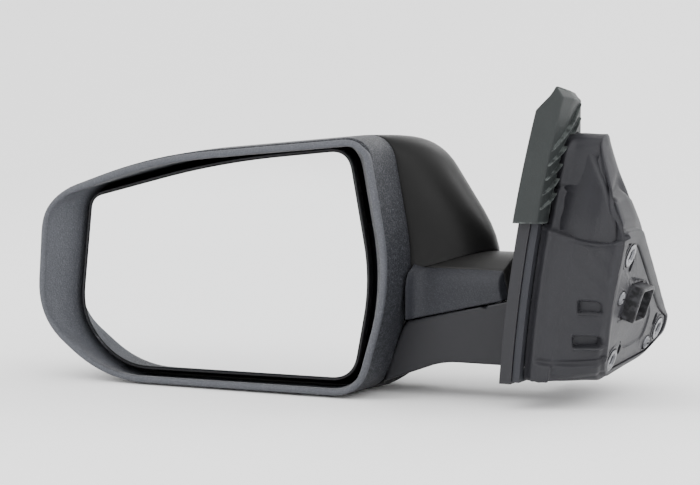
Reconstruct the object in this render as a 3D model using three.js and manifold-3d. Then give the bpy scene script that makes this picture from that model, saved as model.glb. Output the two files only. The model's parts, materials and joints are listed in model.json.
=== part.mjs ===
// Left door mirror of a car: a glass head that folds about a sprung post on a door-mounted base,
// with a glass that an electric actuator tilts and pans.
// Millimetres, +Z up, +X towards the door, +Y towards the front of the car.
// The origin is on the flat inboard face of the mounting plate, where the door panel bears.
import * as THREE from 'three';
import { mergeVertices } from 'three/addons/utils/BufferGeometryUtils.js';
import Module from 'manifold-3d';

const wasm = await Module();
wasm.setup();

// ---------------------------------------------------------------- driving dimensions
const GAP = 0.3;
const WALL = 2.5;
const degrees = THREE.MathUtils.degToRad;

// Head: everything is measured from the middle of the glass, at (HEAD_X, HEAD_Z).
const HEAD_X = -243;
const HEAD_Z = 31;
const LIP_Y = -82;
const SEAM_Y = -47;
const NOSE_Y = 38;
const GLASS_Y = -59;
const GLASS_THICK = 2;
const LIP_WIDTH = 4.5;
const SHOULDER = 58;
const SHOULDER_AT = 0.42;
// Corners of the outlines, going round clockwise from the upper outer one: x, z, radius.
const LIP_CORNERS = [
  [-110, 37, 22], [-34, 63.5, 70], [105, 77, 16], [120.5, -5, 30],
  [101, -72, 18], [-68, -72.5, 28], [-115, -37, 24],
];
const GLASS_CORNERS = [
  [-88, 36, 7], [0, 59, 70], [84, 68, 12], [98, -7, 22],
  [87, -65, 14], [-68, -66, 20], [-96, -38, 26],
];

// Fold pivot: an axis that leans outboard at its top, square to the joint face of the arm.
const FOLD_ORIGIN = new THREE.Vector3(-103, -29, 6);
const FOLD_LEAN = 13;
const FOLD_BACK = 65;
const FOLD_FORWARD = 50;
const ARM_RADIUS = 42;
const ARM_REAR = -50;
const ARM_FRONT = 6;
const ARM_TOP = 36;
const POST_RADIUS = 6.5;
const POST_BORE = 4;
const POST_TOP = 32;
const BOSS_LOW = -14;
const BOSS_RADIUS = 13.4;
const LUG_RADIUS = 17.6;

// Base: a sail that follows the side window, and a mounting plate that leans with the door.
const PLATE_LEAN = 18;
const PLATE_THICK = 5;
const SAIL_REAR = -78;
const SAIL_BOTTOM = -28;
const SAIL_TOP = 132;
const SAIL_THICK = 3;
const SAIL_RIM = 7;
const BOOT_WALL = 3;
// Mounting points on the plate: distance forward, height.
const INSERTS = [[-72, 46], [-43, -16], [31, -6]];
const PLATE_SCREWS = [[-61, 21], [18, -13]];
const INSERT_RADIUS = 6.3;
const INSERT_BORE = 3.3;
const SOCKET = { y: -36, z: 17, width: 22, height: 20, reach: 7 };

// Glass drive.
const PIVOT_Y = -42;
const DRIVE_ARM = 34;
const WHEEL_RADIUS = 10;
const WHEEL_TEETH = 20;
const WORM_RADIUS = 3;
const DRIVE_Y = -18;
const CASE_FRONT = -30;
const CASE_BACK = -8;

// ---------------------------------------------------------------- materials
const finish = (color, roughness, metalness = 0) =>
  new THREE.MeshStandardMaterial({ color, roughness, metalness });
const TEXTURED_BLACK = finish(0x2c2e30, 0.75);
const SATIN_BLACK = finish(0x222325, 0.4);
const SATIN_GREY = finish(0x3c3d40, 0.5);
const RUBBER = finish(0x37393a, 0.85);
const SEAL_RUBBER = finish(0x2b2d2c, 0.7);
const BLACK_NYLON = finish(0x18191a, 0.6);
const WHITE_NYLON = finish(0xd8d6cc, 0.5);
const CAST_ALLOY = finish(0x8d8f92, 0.55, 0.8);
const STEEL = finish(0xb4b6b8, 0.35, 1);
const MIRROR = finish(0xeef0f2, 0.03, 1);
const FILM = finish(0x5b4a2f, 0.6);
const CABLE = finish(0x141414, 0.6);
const BRASS = finish(0xb79a52, 0.35, 1);

// ---------------------------------------------------------------- solid helpers
const toSolid = (geometry, matrix) => {
  const bare = geometry.index ? geometry.toNonIndexed() : geometry.clone();
  bare.deleteAttribute('normal');
  bare.deleteAttribute('uv');
  if (matrix) bare.applyMatrix4(matrix);
  const merged = mergeVertices(bare, 1e-4);
  const triVerts = [];
  const index = merged.index.array;
  for (let i = 0; i < index.length; i += 3) {
    const [a, b, c] = [index[i], index[i + 1], index[i + 2]];
    if (a !== b && b !== c && c !== a) triVerts.push(a, b, c);
  }
  return new wasm.Manifold(new wasm.Mesh({
    numProp: 3,
    vertProperties: new Float32Array(merged.attributes.position.array),
    triVerts: new Uint32Array(triVerts),
  }));
};

const group = new THREE.Group();
const addPart = (name, solid, material) => {
  const mesh = solid.getMesh();
  const geometry = new THREE.BufferGeometry();
  geometry.setAttribute('position', new THREE.BufferAttribute(mesh.vertProperties, 3));
  geometry.setIndex(new THREE.BufferAttribute(mesh.triVerts, 1));
  geometry.computeVertexNormals();
  const part = new THREE.Mesh(geometry, material);
  part.name = name;
  group.add(part);
};

const union = (solids) => solids.reduce((sum, solid) => sum.add(solid));
// The biggest body of a solid, where a cut leaves slivers beside it.
const biggest = (solid) => solid.decompose().sort((a, b) => b.volume() - a.volume())[0];
const cut = (solid, tools) => tools.reduce((left, tool) => left.subtract(tool), solid);

// Frames: the fold pivot, the mounting plate and the head.
const FOLD = new THREE.Matrix4().makeRotationY(degrees(-FOLD_LEAN)).setPosition(FOLD_ORIGIN);
const PLATE = new THREE.Matrix4().makeRotationY(degrees(PLATE_LEAN));
const HEAD = new THREE.Matrix4().makeTranslation(HEAD_X, 0, HEAD_Z);

const box = (low, high, frame) => {
  const size = high.map((value, i) => value - low[i]);
  const middle = high.map((value, i) => (value + low[i]) / 2);
  const geometry = new THREE.BoxGeometry(...size);
  geometry.translate(...middle);
  return toSolid(geometry, frame);
};

// A turned piece: radius and height pairs round the Z axis, closed on the axis or on itself.
const turned = (profile, frame, segments = 22) => {
  const points = profile.map(([radius, height]) => new THREE.Vector2(radius, height));
  const geometry = new THREE.LatheGeometry(points, segments);
  geometry.rotateX(Math.PI / 2);
  return toSolid(geometry, frame);
};
const disc = (radius, low, high, frame, segments = 22) =>
  turned([[0, low], [radius, low], [radius, high], [0, high]], frame, segments);
const ring = (inner, outer, low, high, frame, segments = 22) =>
  turned([[inner, low], [outer, low], [outer, high], [inner, high], [inner, low]], frame, segments);

// Turns the Z axis of a turned piece to the direction given, with its zero at the place given.
const along = (direction, place, frame) => {
  const turn = new THREE.Quaternion().setFromUnitVectors(
    new THREE.Vector3(0, 0, 1), new THREE.Vector3(...direction).normalize());
  const matrix = new THREE.Matrix4().makeRotationFromQuaternion(turn).setPosition(...place);
  return frame ? matrix.premultiply(frame) : matrix;
};

// Points round a polygon whose corners are rounded, the same number for every corner.
const rounded = (corners, steps = 5) => {
  const points = [];
  corners.forEach(([x, y, radius], i) => {
    const corner = new THREE.Vector2(x, y);
    const before = corners[(i + corners.length - 1) % corners.length];
    const after = corners[(i + 1) % corners.length];
    const back = new THREE.Vector2(before[0] - x, before[1] - y);
    const ahead = new THREE.Vector2(after[0] - x, after[1] - y);
    const reach = Math.min(radius, back.length() * 0.48, ahead.length() * 0.48);
    const start = corner.clone().addScaledVector(back.normalize(), reach);
    const end = corner.clone().addScaledVector(ahead.normalize(), reach);
    const bend = new THREE.QuadraticBezierCurve(start, corner, end);
    points.push(...bend.getPoints(steps));
  });
  return points;
};

// Moves every corner of an outline square to its two sides by a distance, outwards if positive.
const offset = (corners, distance) => corners.map(([x, y, radius], i) => {
  const before = corners[(i + corners.length - 1) % corners.length];
  const after = corners[(i + 1) % corners.length];
  const first = new THREE.Vector2(x - before[0], y - before[1]).normalize();
  const second = new THREE.Vector2(after[0] - x, after[1] - y).normalize();
  const normal = new THREE.Vector2(-first.y - second.y, first.x + second.x);
  const scale = 2 * distance / normal.lengthSq();
  return [x + normal.x * scale, y + normal.y * scale, Math.max(radius + distance * 1.2, 2)];
});

// Joins rings of points, one after another, into one closed body with flat ends.
const loft = (rings, frame) => {
  const count = rings[0].length;
  const middle = (points) => points
    .reduce((sum, point) => sum.add(point), new THREE.Vector3())
    .divideScalar(points.length);
  const triangles = [];
  const face = (a, b, c) => triangles.push(...a.toArray(), ...b.toArray(), ...c.toArray());
  for (let k = 0; k + 1 < rings.length; k += 1) {
    for (let i = 0; i < count; i += 1) {
      const j = (i + 1) % count;
      face(rings[k][i], rings[k][j], rings[k + 1][j]);
      face(rings[k][i], rings[k + 1][j], rings[k + 1][i]);
    }
  }
  const last = rings[rings.length - 1];
  const lowMiddle = middle(rings[0]);
  const highMiddle = middle(last);
  for (let i = 0; i < count; i += 1) {
    const j = (i + 1) % count;
    face(lowMiddle, rings[0][j], rings[0][i]);
    face(highMiddle, last[i], last[j]);
  }
  const geometry = new THREE.BufferGeometry();
  geometry.setAttribute('position', new THREE.Float32BufferAttribute(triangles, 3));
  const solid = toSolid(geometry, frame);
  if (solid.volume() > 0) return solid;
  return loft(rings.map((points) => [...points].reverse()), frame);
};

// A ring of points across the head at one depth.
const across = (corners, y, steps) =>
  rounded(corners, steps).map((point) => new THREE.Vector3(point.x, y, point.y));
const headPlate = (corners, low, high, steps) =>
  loft([across(corners, low, steps), across(corners, high, steps)], HEAD);

// ---------------------------------------------------------------- head shells
// Shape of the head behind its lip: t is 0 at the seam and 1 at the nose.
const headSection = (y, inset = 0) => {
  const t = THREE.MathUtils.clamp((y - SEAM_Y) / (NOSE_Y - SEAM_Y), 0, 1);
  const dome = Math.sqrt(1 - t ** 2.6);
  const swell = t < SHOULDER_AT
    ? Math.sin(Math.PI / 2 * t / SHOULDER_AT)
    : Math.cos(Math.PI / 2 * (t - SHOULDER_AT) / (1 - SHOULDER_AT));
  const wide = SHOULDER * Math.max(swell, 0) ** 0.8;
  const share = [0, 0, 0.34, 1, 0.1, 0, 0];
  const corners = offset(LIP_CORNERS, 0.8 - inset).map(([x, z, radius], i) => [
    20 + (x - 20) * dome + wide * share[i],
    -4 + (z + 4) * (0.35 + 0.65 * dome),
    radius * (0.5 + 0.5 * dome) + wide * share[i] * 0.25,
  ]);
  return corners;
};
const SHELL_DEPTHS = [0, 0.06, 0.14, 0.26, 0.42, 0.58, 0.74, 0.87, 0.95, 0.99];
const headBody = (inset) => {
  const length = NOSE_Y - SEAM_Y;
  const rings = SHELL_DEPTHS.map((t) => across(headSection(SEAM_Y + GAP + t * length, inset),
    SEAM_Y + GAP + t * (length - inset) - (t === 0 && inset > 0 ? 1 : 0), inset > 0 ? 3 : 5));
  return loft(rings, HEAD);
};

// The knuckle of the arm, which turns with the head above the joint face.
const armPlan = (inset) => {
  const radius = ARM_RADIUS - inset;
  const rear = ARM_REAR - FOLD_ORIGIN.y + inset;
  const front = ARM_FRONT - FOLD_ORIGIN.y - inset;
  const start = Math.asin(rear / radius);
  const end = Math.asin(front / radius);
  const points = [[-62, rear]];
  const steps = 10;
  for (let i = 0; i <= steps; i += 1) {
    const angle = start + (end - start) * i / steps;
    points.push([radius * Math.cos(angle), radius * Math.sin(angle)]);
  }
  points.push([-62, front]);
  return points;
};
const armKnuckle = (inset = 0) => {
  const level = (h) => armPlan(inset).map(([x, y]) => new THREE.Vector3(x, y, h));
  const drum = loft([level(0.4 + inset), level(70)], FOLD);
  const profile = offset([
    [ARM_REAR, -70, 1], [ARM_REAR, 27, 8], [-26, ARM_TOP + 1, 20], [ARM_FRONT, ARM_TOP - 4, 14],
    [ARM_FRONT, -70, 1],
  ], -inset);
  const slice = (x) => rounded(profile, 5).map((point) => new THREE.Vector3(x, point.x, point.y));
  return drum.intersect(loft([slice(-200), slice(0)]));
};

// The cone round the fold axis inside which the fixed foot sits, below the joint face.
const footCone = (extra) => turned(
  [[0, -60], [66 + extra, -60], [34 + extra, -4], [30 + extra, 0.4], [0, 0.4]], FOLD, 36);

const headInside = headBody(WALL);
const headOutside = headBody(0);
const kneeOutside = armKnuckle();
const kneeInside = armKnuckle(WALL);
const footClearance = footCone(0.5);
// Room in the arm for the hub's stops below, and for the spring through its top.
const boreThroughArm = turned([[0, -2], [LUG_RADIUS + 0.6, -2], [LUG_RADIUS + 0.6, 10], [12, 10],
  [12, 60], [0, 60]], FOLD);

const bezel = () => {
  const outer = loft([
    across(offset(LIP_CORNERS, -2.2), LIP_Y), across(offset(LIP_CORNERS, -0.6), LIP_Y + 0.7),
    across(LIP_CORNERS, LIP_Y + 2.6), across(offset(LIP_CORNERS, 0.8), SEAM_Y),
  ], HEAD);
  const recess = offset(GLASS_CORNERS, 6.2);
  const funnel = (grow, low) => loft([
    across(offset(LIP_CORNERS, grow - LIP_WIDTH), low),
    across(offset(LIP_CORNERS, grow - LIP_WIDTH - 1), LIP_Y + 6),
    across(offset(recess, grow), GLASS_Y + 3),
    across(offset(recess, grow), SEAM_Y + 1),
  ], HEAD);
  const back = loft([
    across(offset(LIP_CORNERS, -WALL), LIP_Y + 9), across(offset(LIP_CORNERS, 0.8 - WALL), SEAM_Y + 1),
  ], HEAD);
  const hollow = back.subtract(funnel(WALL, LIP_Y - 1));
  const rim = cut(outer, [funnel(0, LIP_Y - 1), hollow]);
  const shroud = kneeOutside.subtract(kneeInside)
    .intersect(box([-124, -60, -40], [-40, ARM_REAR + 6, 60]));
  const bridge = box([-128, ARM_REAR, 2], [-122, SEAM_Y, 26]);
  return cut(union([rim, shroud, bridge]), [footClearance, boreThroughArm]);
};

const skullCap = () => biggest(cut(headOutside, [headInside, armKnuckle(-0.4), footClearance]));

const armCover = () => {
  const shell = kneeOutside.subtract(kneeInside)
    .intersect(box([-121, ARM_REAR + 6 + GAP, -60], [-40, 40, 60]));
  return biggest(cut(shell, [boreThroughArm, footClearance]));
};

// ---------------------------------------------------------------- glass and its drive
const CARRIER_RIM = 1.8;
const carrier = () => {
  const back = GLASS_Y + GLASS_THICK + 1.3;
  const plate = headPlate(offset(GLASS_CORNERS, CARRIER_RIM), back, back + 2.2);
  const rim = headPlate(offset(GLASS_CORNERS, CARRIER_RIM), GLASS_Y - 0.4, back + 0.1)
    .subtract(headPlate(offset(GLASS_CORNERS, 0.4), GLASS_Y - 1, back + 1));
  const ears = [-1, 1].map((side) => cut(
    box([-5, back + 2, side > 0 ? 17 : -21], [5, PIVOT_Y + 4, side > 0 ? 21 : -17], HEAD),
    [disc(2.1, 0, 60, along([0, 0, side], [0, PIVOT_Y, 0], HEAD), 16)],
  ));
  const cups = [[0, -DRIVE_ARM], [-DRIVE_ARM, 0]].map(([x, z]) => {
    const outside = box([x - 6.6, back + 2, z - 6.6], [x + 6.6, PIVOT_Y + 3, z + 6.6], HEAD);
    return outside.subtract(box([x - 5, PIVOT_Y - 5.5, z - 5], [x + 5, PIVOT_Y + 4, z + 5], HEAD));
  });
  return union([plate, rim, ...ears, ...cups]);
};

const gimbalRing = () => {
  const hoop = ring(12.4, 16.2, -2.5, 2.5, along([0, 1, 0], [0, PIVOT_Y, 0], HEAD), 28);
  const pins = [[1, 0, 0], [-1, 0, 0], [0, 0, 1], [0, 0, -1]].map((direction) =>
    disc(1.7, 15, 20.6, along(direction, [0, PIVOT_Y, 0], HEAD), 16));
  return union([hoop, ...pins]);
};

const CASE_CORNERS = [[-47.5, 38, 12], [38, 38, 12], [38, -47.5, 12], [-47.5, -47.5, 12]];
const INLET = [20, 8];
const ACTUATOR_SCREWS = [[-39, 30], [30, 30], [30, -36]];
const actuatorHoles = (radius) => ACTUATOR_SCREWS.map(([x, z]) =>
  disc(radius, -12, 10, along([0, 1, 0], [x, 0, z], HEAD), 16));
const SCREW_PROFILE = [[0, -11], [1.6, -11], [1.6, 6.3], [3.4, 6.3], [3.4, 8.6], [0, 8.6]];
const actuatorScrew = ([x, z]) => turned(SCREW_PROFILE, along([0, 1, 0], [x, 0, z], HEAD), 16);
const actuatorCase = () => {
  const outer = headPlate(CASE_CORNERS, CASE_FRONT, CASE_BACK);
  const inner = headPlate(offset(CASE_CORNERS, -2), CASE_FRONT + 2, CASE_BACK + 1);
  const mouths = [[0, -DRIVE_ARM], [-DRIVE_ARM, 0]].map(([x, z]) =>
    disc(4.4, -5, 5, along([0, 1, 0], [x, CASE_FRONT, z], HEAD), 14));
  const ears = [-1, 1].map((side) => cut(
    box([side > 0 ? 17 : -21, PIVOT_Y - 4, -5], [side > 0 ? 21 : -17, CASE_FRONT + 1, 5], HEAD),
    [disc(2, 0, 60, along([side, 0, 0], [0, PIVOT_Y, 0], HEAD), 16)],
  ));
  return union([cut(outer, [inner, ...mouths]), ...ears]);
};
const actuatorCover = () => {
  const plate = headPlate(CASE_CORNERS, CASE_BACK + GAP, CASE_BACK + 2.8);
  const wells = [[0, -DRIVE_ARM], [-DRIVE_ARM, 0]].map(([x, z]) =>
    ring(4.4, 6.5, 0.5, 6, along([0, 1, 0], [x, CASE_BACK, z], HEAD), 14));
  const ends = [[0, -DRIVE_ARM], [-DRIVE_ARM, 0]].map(([x, z]) =>
    disc(4.4, 0, 4.5, along([0, 1, 0], [x, CASE_BACK, z], HEAD), 14));
  const inlet = disc(3.3, -1, 6, along([0, 1, 0], [INLET[0], CASE_BACK, INLET[1]], HEAD), 16);
  return cut(plate.add(union(wells)), [...ends, inlet, ...actuatorHoles(2)])
    .add(union([[0, -DRIVE_ARM], [-DRIVE_ARM, 0]].map(([x, z]) =>
      disc(6.5, 5.9, 7.2, along([0, 1, 0], [x, CASE_BACK, z], HEAD), 14))));
};

// A drive: jackscrew, worm wheel, worm and motor. side is the direction of the motor's shaft.
const jackscrew = (x, z) => {
  const frame = along([0, 1, 0], [x, PIVOT_Y, z], HEAD);
  const profile = [[0, -3.2]];
  for (let i = 1; i <= 4; i += 1) {
    const angle = degrees(-90 + i * 33);
    profile.push([3.2 * Math.cos(angle), 3.2 * Math.sin(angle)]);
  }
  profile.push([1.8, 3.2], [1.8, 7], [3.1, 8.2]);
  for (let h = 11; h < 26; h += 6) profile.push([3.1, h], [2.6, h + 1.5], [3.1, h + 3]);
  profile.push([3.1, 29], [0, 29]);
  return turned(profile, frame, 10);
};
const wormWheel = (x, z) => {
  const frame = along([0, 1, 0], [x, DRIVE_Y, z], HEAD);
  const body = turned([[3.6, -6], [6, -6], [6, -4], [WHEEL_RADIUS - 1.4, -4], [WHEEL_RADIUS - 1.4, 4],
    [6, 4], [6, 6], [3.6, 6], [3.6, -6]], frame, 20);
  const teeth = Array.from({ length: WHEEL_TEETH }, (_, i) => {
    const turn = new THREE.Matrix4().makeRotationZ(i * 2 * Math.PI / WHEEL_TEETH);
    return box([WHEEL_RADIUS - 2, -0.7, -4], [WHEEL_RADIUS, 0.7, 4], frame.clone().multiply(turn));
  });
  return union([body, ...teeth]);
};
const WORM_OFFSET = WHEEL_RADIUS + WORM_RADIUS + GAP;
const worm = (place, direction) => {
  const profile = [[0, -9], [1.5, -9], [1.5, -7.5]];
  for (let h = -7; h < 6; h += 3.2) profile.push([2.1, h], [WORM_RADIUS, h + 0.8], [2.1, h + 1.6]);
  profile.push([1.2, 8.5], [1.2, 12], [0, 12]);
  return turned(profile, along(direction, place, HEAD), 12);
};
const motor = (place, direction) => {
  const frame = along(direction, place, HEAD);
  return turned([[1.6, 9.5], [3.5, 9.5], [3.5, 11], [8.4, 11], [8.4, 33], [3, 33], [3, 35],
    [0, 35], [0, 14], [1.6, 14], [1.6, 9.5]], frame, 16);
};

// ---------------------------------------------------------------- fold pivot
// A block between two radii over a range of angles, used for the end stops.
const sector = (inner, outer, from, to, low, high) => {
  const corners = [];
  const steps = 6;
  for (let i = 0; i <= steps; i += 1) {
    const angle = degrees(from + (to - from) * i / steps);
    corners.push([outer * Math.cos(angle), outer * Math.sin(angle)]);
  }
  for (let i = steps; i >= 0; i -= 1) {
    const angle = degrees(from + (to - from) * i / steps);
    corners.push([inner * Math.cos(angle), inner * Math.sin(angle)]);
  }
  const shape = new THREE.Shape(corners.map(([x, y]) => new THREE.Vector2(x, y)));
  const geometry = new THREE.ExtrudeGeometry(shape, { depth: high - low, bevelEnabled: false });
  geometry.translate(0, 0, low);
  return toSolid(geometry, FOLD);
};
const STOP_HALF = 14;
const headFrame = () => {
  const hub = ring(POST_RADIUS + 0.4, BOSS_RADIUS, -0.4, 12, FOLD);
  const stops = [
    sector(BOSS_RADIUS - 1, LUG_RADIUS, -STOP_HALF - FOLD_BACK - 21, -STOP_HALF - FOLD_BACK - 1, 1, 8),
    sector(BOSS_RADIUS - 1, LUG_RADIUS, STOP_HALF + FOLD_FORWARD + 1, STOP_HALF + FOLD_FORWARD + 21, 1, 8),
  ];
  const beam = cut(box([-58, -5.5, 3.4], [-8, 12, 12], FOLD), [disc(POST_RADIUS + 2, -5, 30, FOLD)]);
  const post = box([-162, -34, -6], [-152, 6, 54]);
  const plate = cut(headPlate([[-62, 40, 10], [88, 40, 10], [88, -42, 10], [-62, -42, 10]], 2, 6),
    [headPlate([[-28, 18, 8], [40, 18, 8], [40, -22, 8], [-28, -22, 8]], 0, 8)]);
  const spacers = ACTUATOR_SCREWS.map(([x, z]) =>
    disc(4.2, CASE_BACK + 3.1, 3, along([0, 1, 0], [x, 0, z], HEAD), 16));
  const frame = union([hub, ...stops, beam, post, plate, ...spacers, box([-170, 2, 0], [-152, 6, 66])]);
  return cut(frame, actuatorHoles(2));
};
const pivotPost = () => turned([[POST_BORE, BOSS_LOW - 3.3], [11, BOSS_LOW - 3.3], [11, BOSS_LOW - GAP],
  [POST_RADIUS, BOSS_LOW - GAP],
  [POST_RADIUS, POST_TOP - 1], [POST_RADIUS - 1, POST_TOP], [POST_BORE, POST_TOP],
  [POST_BORE, BOSS_LOW - 3.3]], FOLD);
const foldSpring = () => {
  const turns = 4;
  const radius = 8.6;
  const foot = 13.6;
  const rise = 11.2;
  class Helix extends THREE.Curve {
    getPoint(t) {
      const angle = t * turns * 2 * Math.PI;
      return new THREE.Vector3(radius * Math.cos(angle), radius * Math.sin(angle), foot + rise * t);
    }
  }
  const wire = new THREE.Shape(rounded([[-1.1, -1.1, 1], [1.1, -1.1, 1], [1.1, 1.1, 1],
    [-1.1, 1.1, 1]], 1));
  return toSolid(new THREE.ExtrudeGeometry(wire, { steps: 44, extrudePath: new Helix() }), FOLD);
};

// ---------------------------------------------------------------- base
const sailX = (z) => {
  const rise = z + 27;
  return -58 + 0.07 * rise + 0.0006 * rise * rise;
};
const sailFront = (z) => Math.min(-40 + (SAIL_TOP - z) * 0.85, 52 + (z - SAIL_BOTTOM) * 0.5);
const plateX = (z) => Math.tan(degrees(PLATE_LEAN)) * z;
// A body between two sheets that follow the sail, given as distances inboard of its outer face.
const sailBody = (near, far, inset, top = SAIL_TOP) => {
  const steps = 10;
  const rings = Array.from({ length: steps + 1 }, (_, i) => {
    const z = SAIL_BOTTOM + inset + (top - SAIL_BOTTOM - 2 * inset) * i / steps;
    const x = sailX(z);
    const front = Math.max(sailFront(z) - inset * 1.4, SAIL_REAR + inset + 3);
    return [[near, SAIL_REAR + inset], [far, SAIL_REAR + inset], [far, front], [near, front]]
      .map(([depth, y]) => new THREE.Vector3(x + depth, y, z));
  });
  return loft(rings);
};

// The foot's side view: flat below, dropping to a tongue under the head.
const footSide = (inset) => offset([
  [-53, -22, 1], [-53, 18, 1], [-103, 6, 1], [-136, -2, 1], [-150, -39, 1], [-104, -22, 10],
], -inset);
const footBody = (inset) => {
  const slice = (y) => rounded(footSide(inset), 4).map((point) => new THREE.Vector3(point.x, y, point.y));
  const side = loft([slice(ARM_REAR + inset), slice(2 - inset)]);
  const joint = box([-70, -60, -80], [70, 60, -GAP - inset], FOLD);
  const reach = footCone(-inset).add(box([-77, -60, -60], [-50, 20, 40]));
  return side.intersect(joint).intersect(reach);
};
const baseCover = () => {
  const skin = cut(sailBody(0, SAIL_RIM, 0), [sailBody(SAIL_THICK, SAIL_RIM + 1, 2.5)]);
  const foot = footBody(0);
  const hollow = footBody(WALL).add(box([-62, -46, -18], [-48, -4, 8]));
  return cut(skin.add(foot), [hollow, disc(BOSS_RADIUS + LUG_RADIUS * 0.3, -6, 3, FOLD)]);
};

const doorGasket = () => sailBody(SAIL_RIM + GAP, SAIL_RIM + 4.5, 1)
  .subtract(sailBody(SAIL_RIM - 1, SAIL_RIM + 6, 7));

// The boot joins an outline behind the sail to an outline round the mounting plate.
// Corners: distance forward, height, radius; the two lists match corner for corner.
const BOOT_SAIL = [
  [-72, 106, 10], [-60, 113, 8], [36, 18, 12], [46, -18, 10], [18, -26.5, 8], [-72, -26.5, 4],
  [-72, 40, 20],
];
const BOOT_PLATE = [
  [-98, 62, 8], [-66, 62, 8], [49, 0, 10], [50, -12, 8], [16, -23, 10], [-48, -28, 8],
  [-77, 14, 20],
];
const bootRing = (s, inset) => {
  const share = Math.max(0, (s - 0.38) / 0.62) ** 0.85;
  const mixed = BOOT_SAIL.map((corner, i) =>
    corner.map((value, k) => value + (BOOT_PLATE[i][k] - value) * share));
  return rounded(offset(mixed, -inset), 3).map((point) => {
    const [y, z] = [point.x, point.y];
    const near = sailX(z) + SAIL_RIM + 5 + (inset > 0 ? -1 : inset);
    const far = plateX(z) - inset;
    return new THREE.Vector3(near + (far - near) * s, y, z);
  });
};
const bootBody = (inset) => loft([0, 0.2, 0.38, 0.48, 0.6, 0.75, 0.88, 1].map((s) => bootRing(s, inset)));
const PLATE_OUTLINE = [
  [-86, 54, 5], [-64, 52, 6], [22, 7, 14], [44, 0, 6], [46, -9, 8], [24, -19, 8], [-46, -23, 6],
  [-69, 12, 16],
];
// A prism square to the mounting plate, from an outline of distance forward and height.
const onPlate = (corners, low, high) => {
  const rise = 1 / Math.cos(degrees(PLATE_LEAN));
  const level = (depth) => rounded(corners, 3)
    .map((point) => new THREE.Vector3(depth, point.x, point.y * rise));
  return loft([level(low), level(high)], PLATE);
};
const platePoint = ([y, z]) => [0, y, z / Math.cos(degrees(PLATE_LEAN))];
const plateDisc = (point, radius, low, high, segments = 18) =>
  disc(radius, low, high, along([1, 0, 0], platePoint(point), PLATE), segments);
const socketCorners = (grow) => {
  const [w, h] = [SOCKET.width / 2 + grow, SOCKET.height / 2 + grow];
  return [[SOCKET.y - w, SOCKET.z - h, 2], [SOCKET.y - w, SOCKET.z + h, 2],
    [SOCKET.y + w, SOCKET.z + h, 2], [SOCKET.y + w, SOCKET.z - h, 2]];
};

const sailBoot = () => bootBody(0)
  .subtract(bootBody(BOOT_WALL))
  .subtract(onPlate(offset(PLATE_OUTLINE, -0.5), -BOOT_WALL - 3, 4))
  .subtract(union(INSERTS.map((point) => plateDisc(point, INSERT_RADIUS + 1.6, -20, 4))));

const mountBracket = () => {
  const plate = onPlate(offset(PLATE_OUTLINE, -1.2), -PLATE_THICK, 0);
  const inside = bootBody(BOOT_WALL + 0.5);
  const bosses = INSERTS.map((point) => plateDisc(point, 8.4, -15, -0.6).intersect(inside));
  const boss = disc(BOSS_RADIUS, BOSS_LOW, -3, FOLD);
  const lug = sector(BOSS_RADIUS + 0.6, LUG_RADIUS, -STOP_HALF, STOP_HALF, -5, 8)
    .add(sector(BOSS_RADIUS - 4, LUG_RADIUS, -STOP_HALF, STOP_HALF, -12, -4));
  const neck = box([-100, -38, -10], [-36, -18, -2]);
  const ribs = [
    box([-47, -40, -14], [-6, -14, -6]), box([-44, -20, -14], [6, -15, 30]),
  ].map((rib) => rib.intersect(inside));
  const solid = union([plate, ...bosses, boss, lug, neck, ...ribs]);
  return cut(solid, [
    disc(POST_RADIUS + GAP, -30, 0, FOLD),
    disc(11.5, -30, BOSS_LOW, FOLD),
    ...INSERTS.map((point) => plateDisc(point, INSERT_RADIUS + GAP, -16, 4)),
    ...INSERTS.map((point) => plateDisc(point, INSERT_RADIUS + 1.4, -0.3, 4)),
    ...PLATE_SCREWS.map((point) => plateDisc(point, 2.4, -6, 4, 16)),
    ...PLATE_SCREWS.map((point) => plateDisc(point, 4.5, -1, 4, 16)),
    onPlate(socketCorners(GAP), -40, 4),
  ]);
};

const threadedInsert = (point) => {
  const frame = along([1, 0, 0], platePoint(point), PLATE);
  return turned([[INSERT_BORE, -14], [INSERT_RADIUS, -14], [INSERT_RADIUS, 0], [INSERT_RADIUS + 0.9, 0.4],
    [INSERT_RADIUS + 0.9, 1.2], [INSERT_BORE + 0.6, 1.2], [INSERT_BORE, 0.5], [INSERT_BORE, -14]], frame);
};
const plateScrew = (point) => {
  const frame = along([1, 0, 0], platePoint(point), PLATE);
  const head = turned([[0, -9], [1.9, -9], [1.9, -0.6], [4, -0.6], [4, 1], [3, 2], [0, 2]], frame, 20);
  return cut(head, [box([0.8, -2.2, -0.6], [3.5, 2.2, 0.6], frameOf(point)),
    box([0.8, -0.6, -2.2], [3.5, 0.6, 2.2], frameOf(point))]);
};
const frameOf = (point) => new THREE.Matrix4().makeTranslation(...platePoint(point)).premultiply(PLATE);

const connectorHousing = () => cut(
  onPlate(socketCorners(0), -12, SOCKET.reach),
  [onPlate(socketCorners(-2), -8, SOCKET.reach + 1),
    ...[-1, 0, 1].map((side) => plateDisc([SOCKET.y + side * 5.5, SOCKET.z], 1.2, -14, -6, 10))],
);
// Three terminals moulded in one carrier behind the socket.
const connectorPins = () => {
  const carrierBar = onPlate([[SOCKET.y - 9, SOCKET.z - 4, 1], [SOCKET.y - 9, SOCKET.z + 4, 1],
    [SOCKET.y + 9, SOCKET.z + 4, 1], [SOCKET.y + 9, SOCKET.z - 4, 1]], -15, -12.3);
  const pins = [-1, 0, 1].map((side) =>
    plateDisc([SOCKET.y + side * 5.5, SOCKET.z], 0.8, -14, -2, 8));
  return union([carrierBar, ...pins]);
};

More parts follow.
